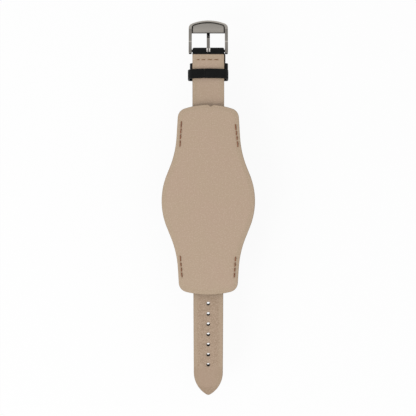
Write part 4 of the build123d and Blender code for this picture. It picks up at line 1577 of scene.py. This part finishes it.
@dataclass
class Buckle:
    """The brushed frame and its tang, with painted shade on some faces and a painted highlight on the tang's
    eye.

    All places along the strap are measured from the buckle's bar.
    """

    wardrobe: Wardrobe
    bar_y: float
    rail_x: float = 10.0 * MM
    rail_end: float = 14.2 * MM
    rail_shade: float = 0.4
    bend: tuple[float, float] = (8.4 * MM, 12.5 * MM)
    bend_shade: float = 0.85
    eye_end: float = 1.75 * MM

    def split(self, piece: bpy.types.Object, *places: float) -> tuple[np.ndarray, np.ndarray]:
        """Splits a piece's faces at places along the strap, so that each part can have its own shade.

        Args:
            piece: The steel piece.
            places: Distances from the buckle's bar.

        Returns:
            The middle and the normal of each face.
        """
        edit(piece)
        for place in places:
            bpy.ops.mesh.select_all(action="SELECT")
            bpy.ops.mesh.bisect(plane_co=(0, self.bar_y + place, 0), plane_no=(0, 1, 0))
        bpy.ops.object.mode_set(mode="OBJECT")
        faces = piece.data.polygons
        centres, normals = np.zeros(len(faces) * 3), np.zeros(len(faces) * 3)
        faces.foreach_get("center", centres)
        faces.foreach_get("normal", normals)
        return centres.reshape(-1, 3) - (0, self.bar_y, 0), normals.reshape(-1, 3)

    def build(self) -> None:
        """Makes the frame and the tang."""
        piece = refined_copy(
            "buckle_frame", "steel", 0.22 * MM, self.wardrobe.buckle, "buckle", "buckle_steel"
        )
        centres, normals = self.split(piece, self.rail_end)
        # Painted shade on the faces that look back towards the bar, and on the rails' flat tops
        walls = np.clip((-normals[:, 1] - 0.35) / 0.4, 0, 1)
        rails = (np.abs(centres[:, 0]) > self.rail_x) & (centres[:, 1] < self.rail_end)
        rails &= normals[:, 2] > 0.9
        set_attribute(piece, "painted_face_shade", np.maximum(walls, self.rail_shade * rails), "FACE")

        piece = refined_copy("buckle_tang", "steel", 0.14 * MM, self.wardrobe.tang, "tang", "buckle_steel")
        start, end = self.bend
        centres, normals = self.split(piece, start, end, self.eye_end)
        # Painted shade on the tang's bend
        bent = (centres[:, 1] > start) & (centres[:, 1] < end) & (normals[:, 2] > 0.3)
        set_attribute(piece, "painted_face_shade", self.bend_shade * bent, "FACE")
        # Painted highlight on the tang's eye
        set_attribute(piece, "painted_eye_highlight", centres[:, 1] < self.eye_end, "FACE")


@dataclass
class Keeper:
    """A closed leather loop round the strap, bent from a flat band whose two ends meet."""

    name: str
    body: str
    wrist_radius: float = 1.1 * MM
    front_radius: float = 1.1 * MM
    seam_x: float = -2.6 * MM
    # How far the wrist side bows towards the buckle
    bow: float = 0.0
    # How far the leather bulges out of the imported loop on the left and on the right
    bulge: tuple[float, float] = (0.0, 0.0)
    rows: list[StitchRow] = field(default_factory=list)

    def build(self, material: bpy.types.Material) -> None:
        """Cuts the band flat, bends it into a loop and lets its wrist side bow.

        Args:
            material: The leather's finish.
        """
        low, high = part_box(self.name)
        half = KEEPER_LEATHER / 2
        left, right = low.x + half - self.bulge[0], high.x - half + self.bulge[1]
        bottom, top = low.z + half, high.z - half
        seam = (self.seam_x, top)
        corners = [seam, (left, top), (left, bottom), (right, bottom), (right, top), seam]
        radii = [self.wrist_radius, self.front_radius, self.front_radius, self.wrist_radius]
        path = BendPath(rounded_path(corners, radii))
        band = LeatherSheet(
            f"{self.name}_leather", rectangle((low.y, 0), (high.y, path.length)), spacing=0.4 * MM,
            creases=(0.9 * MM,), crease_width=0.3 * MM,
        )
        piece = band.blank()
        flat = coordinates(piece)
        x, z = path.place(flat[:, 1], band.bent_height(flat, half))
        wrist_share = np.clip((z - (low.z + high.z) / 2) / (high.z - low.z) * 2, 0, 1)
        y = flat[:, 0] + self.bow * (1 - (x / right) ** 2) * wrist_share
        place_vertices(piece, np.column_stack([x, y, z]))
        band.finish(piece, flat[:, :2])
        note_press(piece, self.rows)
        dress(piece, material, self.body, "front_leather", self.name)


@dataclass
class SprungBar:
    """A sprung bar: its tube, its two shouldered pins and the spring inside."""

    name: str
    pin_travel: float = 1.25 * MM

    def build(self, material: bpy.types.Material) -> None:
        """Makes the bar's four pieces, the spring as two halves."""
        refined_copy(f"{self.name}_tube", "steel", 0.06 * MM, material, self.name, "bar_steel")
        for side in ("left", "right"):
            pin = f"{self.name}_{side}_pin"
            refined_copy(pin, "steel", 0.05 * MM, material, pin, "bar_steel")
            self._half_spring(side, material)

    def _half_spring(self, side: str, material: bpy.types.Material) -> None:
        """Makes one half of the spring, cut off at the bar's middle.

        Args:
            side: The side of the bar, left or right.
            material: The spring's finish.
        """
        low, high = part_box(f"{self.name}_spring")
        centre = (low + high) / 2
        piece = refined_copy(f"{self.name}_spring", f"{side}_wire", 0, material, self.name, "spring_steel")
        edit(piece)
        bpy.ops.mesh.select_all(action="SELECT")
        bpy.ops.mesh.bisect(
            plane_co=centre, plane_no=(1, 0, 0), use_fill=True, clear_inner=side == "right",
            clear_outer=side == "left",
        )
        bpy.ops.object.mode_set(mode="OBJECT")
        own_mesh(piece)


# Stage


@dataclass
class Studio:
    """The floor, the light and the camera straight above the strap."""

    # The floor is far enough below that the buckle can swing down clear of it
    floor_z: float = field(default_factory=lambda: cad_box[0].z - 14.2 * MM)
    floor_size: float = 6.0
    camera_height: float = 0.325
    camera_x: float = -0.2 * MM
    camera_y: float = -5.2 * MM
    view_width: float = 261.7 * MM
    strap_z: float = -3.0 * MM
    sensor: float = 36.0
    key_power: float = 4.8
    key_size: float = 0.7
    zenith: float = 0.43
    horizon: float = 1.3
    lit_share: float = 0.08
    key_place: tuple[float, float, float] = (-0.7, -0.5, 0.6)

    def build(self) -> None:
        """Makes the floor, the light and the camera."""
        self._floor()
        self._light()
        self._camera()

    def _floor(self) -> None:
        """A plain white floor, which looks plain white to the eye and keeps a soft shadow."""
        select()
        bpy.ops.mesh.primitive_plane_add(size=self.floor_size, location=(0, 0, self.floor_z - 0.02 * MM))
        floor = bpy.context.object
        floor.name = "floor"
        material = bpy.data.materials.new("floor_white")
        material.use_nodes = True
        tree = material.node_tree
        lit = add_node(tree, "BsdfDiffuse", {"Color": linear("#f4f4f4")})
        plain = add_node(tree, "Emission", {"Color": linear("#ffffff"), "Strength": 1.0})
        seen = add_node(tree, "LightPath", output="Is Camera Ray")
        for kind in ("Is Glossy Ray", "Is Transmission Ray"):
            other = add_node(tree, "LightPath", output=kind)
            seen = add_node(tree, "Math", links={0: seen, 1: other}, operation="MAXIMUM")
        share = add_node(tree, "Math", {1: 1 - self.lit_share}, {0: seen}, operation="MULTIPLY")
        mix = add_node(tree, "MixShader", links={0: share, 1: lit, 2: plain})
        tree.links.new(mix, tree.nodes["Material Output"].inputs["Surface"])
        floor.data.materials.append(material)

    def _light(self) -> None:
        """A dome that is brighter at the horizon than overhead, and one large soft lamp."""
        world = bpy.data.worlds.new("studio")
        bpy.context.scene.world = world
        world.use_nodes = True
        tree = world.node_tree
        background = tree.nodes["Background"]
        direction = add_node(tree, "TexCoord", output="Generated")
        height = add_node(tree, "SeparateXYZ", links={"Vector": direction}, output="Z")
        level = add_node(tree, "MapRange", {"To Min": self.horizon, "To Max": self.zenith}, {"Value": height})
        seen = add_node(tree, "LightPath", output="Is Camera Ray")
        strength = add_node(tree, "Mix", {3: 1.0}, {0: seen, 2: level}, data_type="FLOAT")
        tree.links.new(strength, background.inputs["Strength"])
        background.inputs["Color"].default_value = linear("#ffffff")
        lamp = bpy.data.lights.new("key", "AREA")
        lamp.shape = "DISK"
        lamp.size = self.key_size
        lamp.energy = self.key_power
        key = link("key", lamp)
        key.location = self.key_place
        key.rotation_euler = (-key.location).to_track_quat("-Z", "Y").to_euler()

    def _camera(self) -> None:
        """A camera straight above, with the photograph's frame and perspective."""
        data = bpy.data.cameras.new("camera")
        data.sensor_width = self.sensor
        data.lens = self.sensor / (self.view_width / self.camera_height)
        data.clip_start = 10 * MM
        data.clip_end = 20.0
        camera = link("camera", data)
        camera.location = (self.camera_x, self.camera_y, self.strap_z + self.camera_height)
        bpy.context.scene.camera = camera
        bpy.context.scene.view_settings.view_transform = "Standard"


def main() -> None:
    """Builds every sub-assembly in order."""
    logging.basicConfig(level=logging.INFO, format="%(name)s %(message)s")
    wardrobe = Wardrobe()
    foot_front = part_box("pad_cover")[0].z - BRIDGE_LEATHER
    # Each row's corner, its stitches, and the shifts of its low and its high end
    corners = (
        (
            "upper_left", ((0.0, 0.235), (0.3, 0.475), (0.53, 0.71), (0.75, 1.0)),
            (0.0, 0.0), (0.0, 0.45 * MM),
        ),
        (
            "upper_right", ((0.0, 0.235), (0.31, 0.465), (0.53, 0.695), (0.75, 1.0)),
            (0.8 * MM, -0.2 * MM), (0.1 * MM, -1.4 * MM),
        ),
        (
            "lower_left", ((0.0, 0.2), (0.265, 0.435), (0.51, 0.67), (0.75, 1.0)),
            (-0.25 * MM, 0.3 * MM), (-0.55 * MM, 0.0),
        ),
        (
            "lower_right", ((0.0, 0.2), (0.29, 0.445), (0.535, 0.71), (0.79, 1.0)),
            (0.0, 0.15 * MM), (0.0, -0.6 * MM),
        ),
    )
    pad_rows = [
        StitchRow(f"{corner}_stitch", "pad", "pad_thread", 0.0, foot_front, stitches, low_shift, high_shift)
        for corner, stitches, low_shift, high_shift in corners
    ]
    lug_y = middle("upper_lug_bar_tube")[1]
    upper = Levels(lug_y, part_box("buckle_end_stitch")[0].z - THREAD_INSET, 1)
    lower = Levels(-lug_y, upper.wrist_z - TAIL_THICKNESS, -1)
    end_row = StitchRow(
        "buckle_end_stitch", "buckle_strap", "strap_thread", upper.wrist_z, upper.end_front_z,
        ((0.0, 0.1), (0.22, 0.37), (0.505, 0.7), (0.8, 1.0)), low_shift=(-0.3 * MM, 0.0),
        high_shift=(-0.4 * MM, 0.0), thread_radius=0.28 * MM, sunk=0.14 * MM, hole_depth=0.16 * MM,
    )
    upper_lug_row, lower_lug_row = (
        StitchRow(
            f"{end}_lug_stitch", body, "strap_thread", upper.wrist_z, upper.lug_front_z, sunk=0.22 * MM,
            thread_radius=0.28 * MM,
        )
        for end, body in (("upper", "buckle_strap"), ("lower", "tail_strap"))
    )
    keeper_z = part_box("free_keeper")[1].z
    seam_row = StitchRow(
        "free_keeper_stitch", "free_keeper", "black_thread", keeper_z, keeper_z - KEEPER_LEATHER,
        ((0.0, 0.47), (0.53, 1.0)), sunk=0.12 * MM, thread_radius=0.22 * MM, dive=0.35 * MM,
    )

    WristPad(wardrobe, pad_rows).build()
    Bridge("upper_bridge", pad_rows[:2]).build(wardrobe.front)
    Bridge("lower_bridge", pad_rows[2:]).build(wardrobe.front)
    buckle_strap = BuckleStrap("buckle_strap", wardrobe, upper, [upper_lug_row, end_row])
    buckle_strap.build()
    TailStrap("tail_strap", wardrobe, lower, [lower_lug_row]).build()
    Keeper("fixed_keeper", "buckle_strap", seam_x=0.0).build(wardrobe.front)
    Keeper(
        "free_keeper", "free_keeper", wrist_radius=2.2 * MM, bow=0.45 * MM,
        bulge=(0.4 * MM, 0.15 * MM), rows=[seam_row],
    ).build(wardrobe.front)
    for row in pad_rows:
        row.build(wardrobe.pad_thread)
    for row in (end_row, upper_lug_row, lower_lug_row):
        row.build(wardrobe.strap_thread)
    seam_row.build(wardrobe.black_thread)
    Buckle(wardrobe, buckle_strap.buckle_y).build()
    for name in ("buckle_bar", "upper_lug_bar", "lower_lug_bar"):
        SprungBar(name).build(wardrobe.bar)
    Studio().build()


if __name__ == "__main__":
    main()
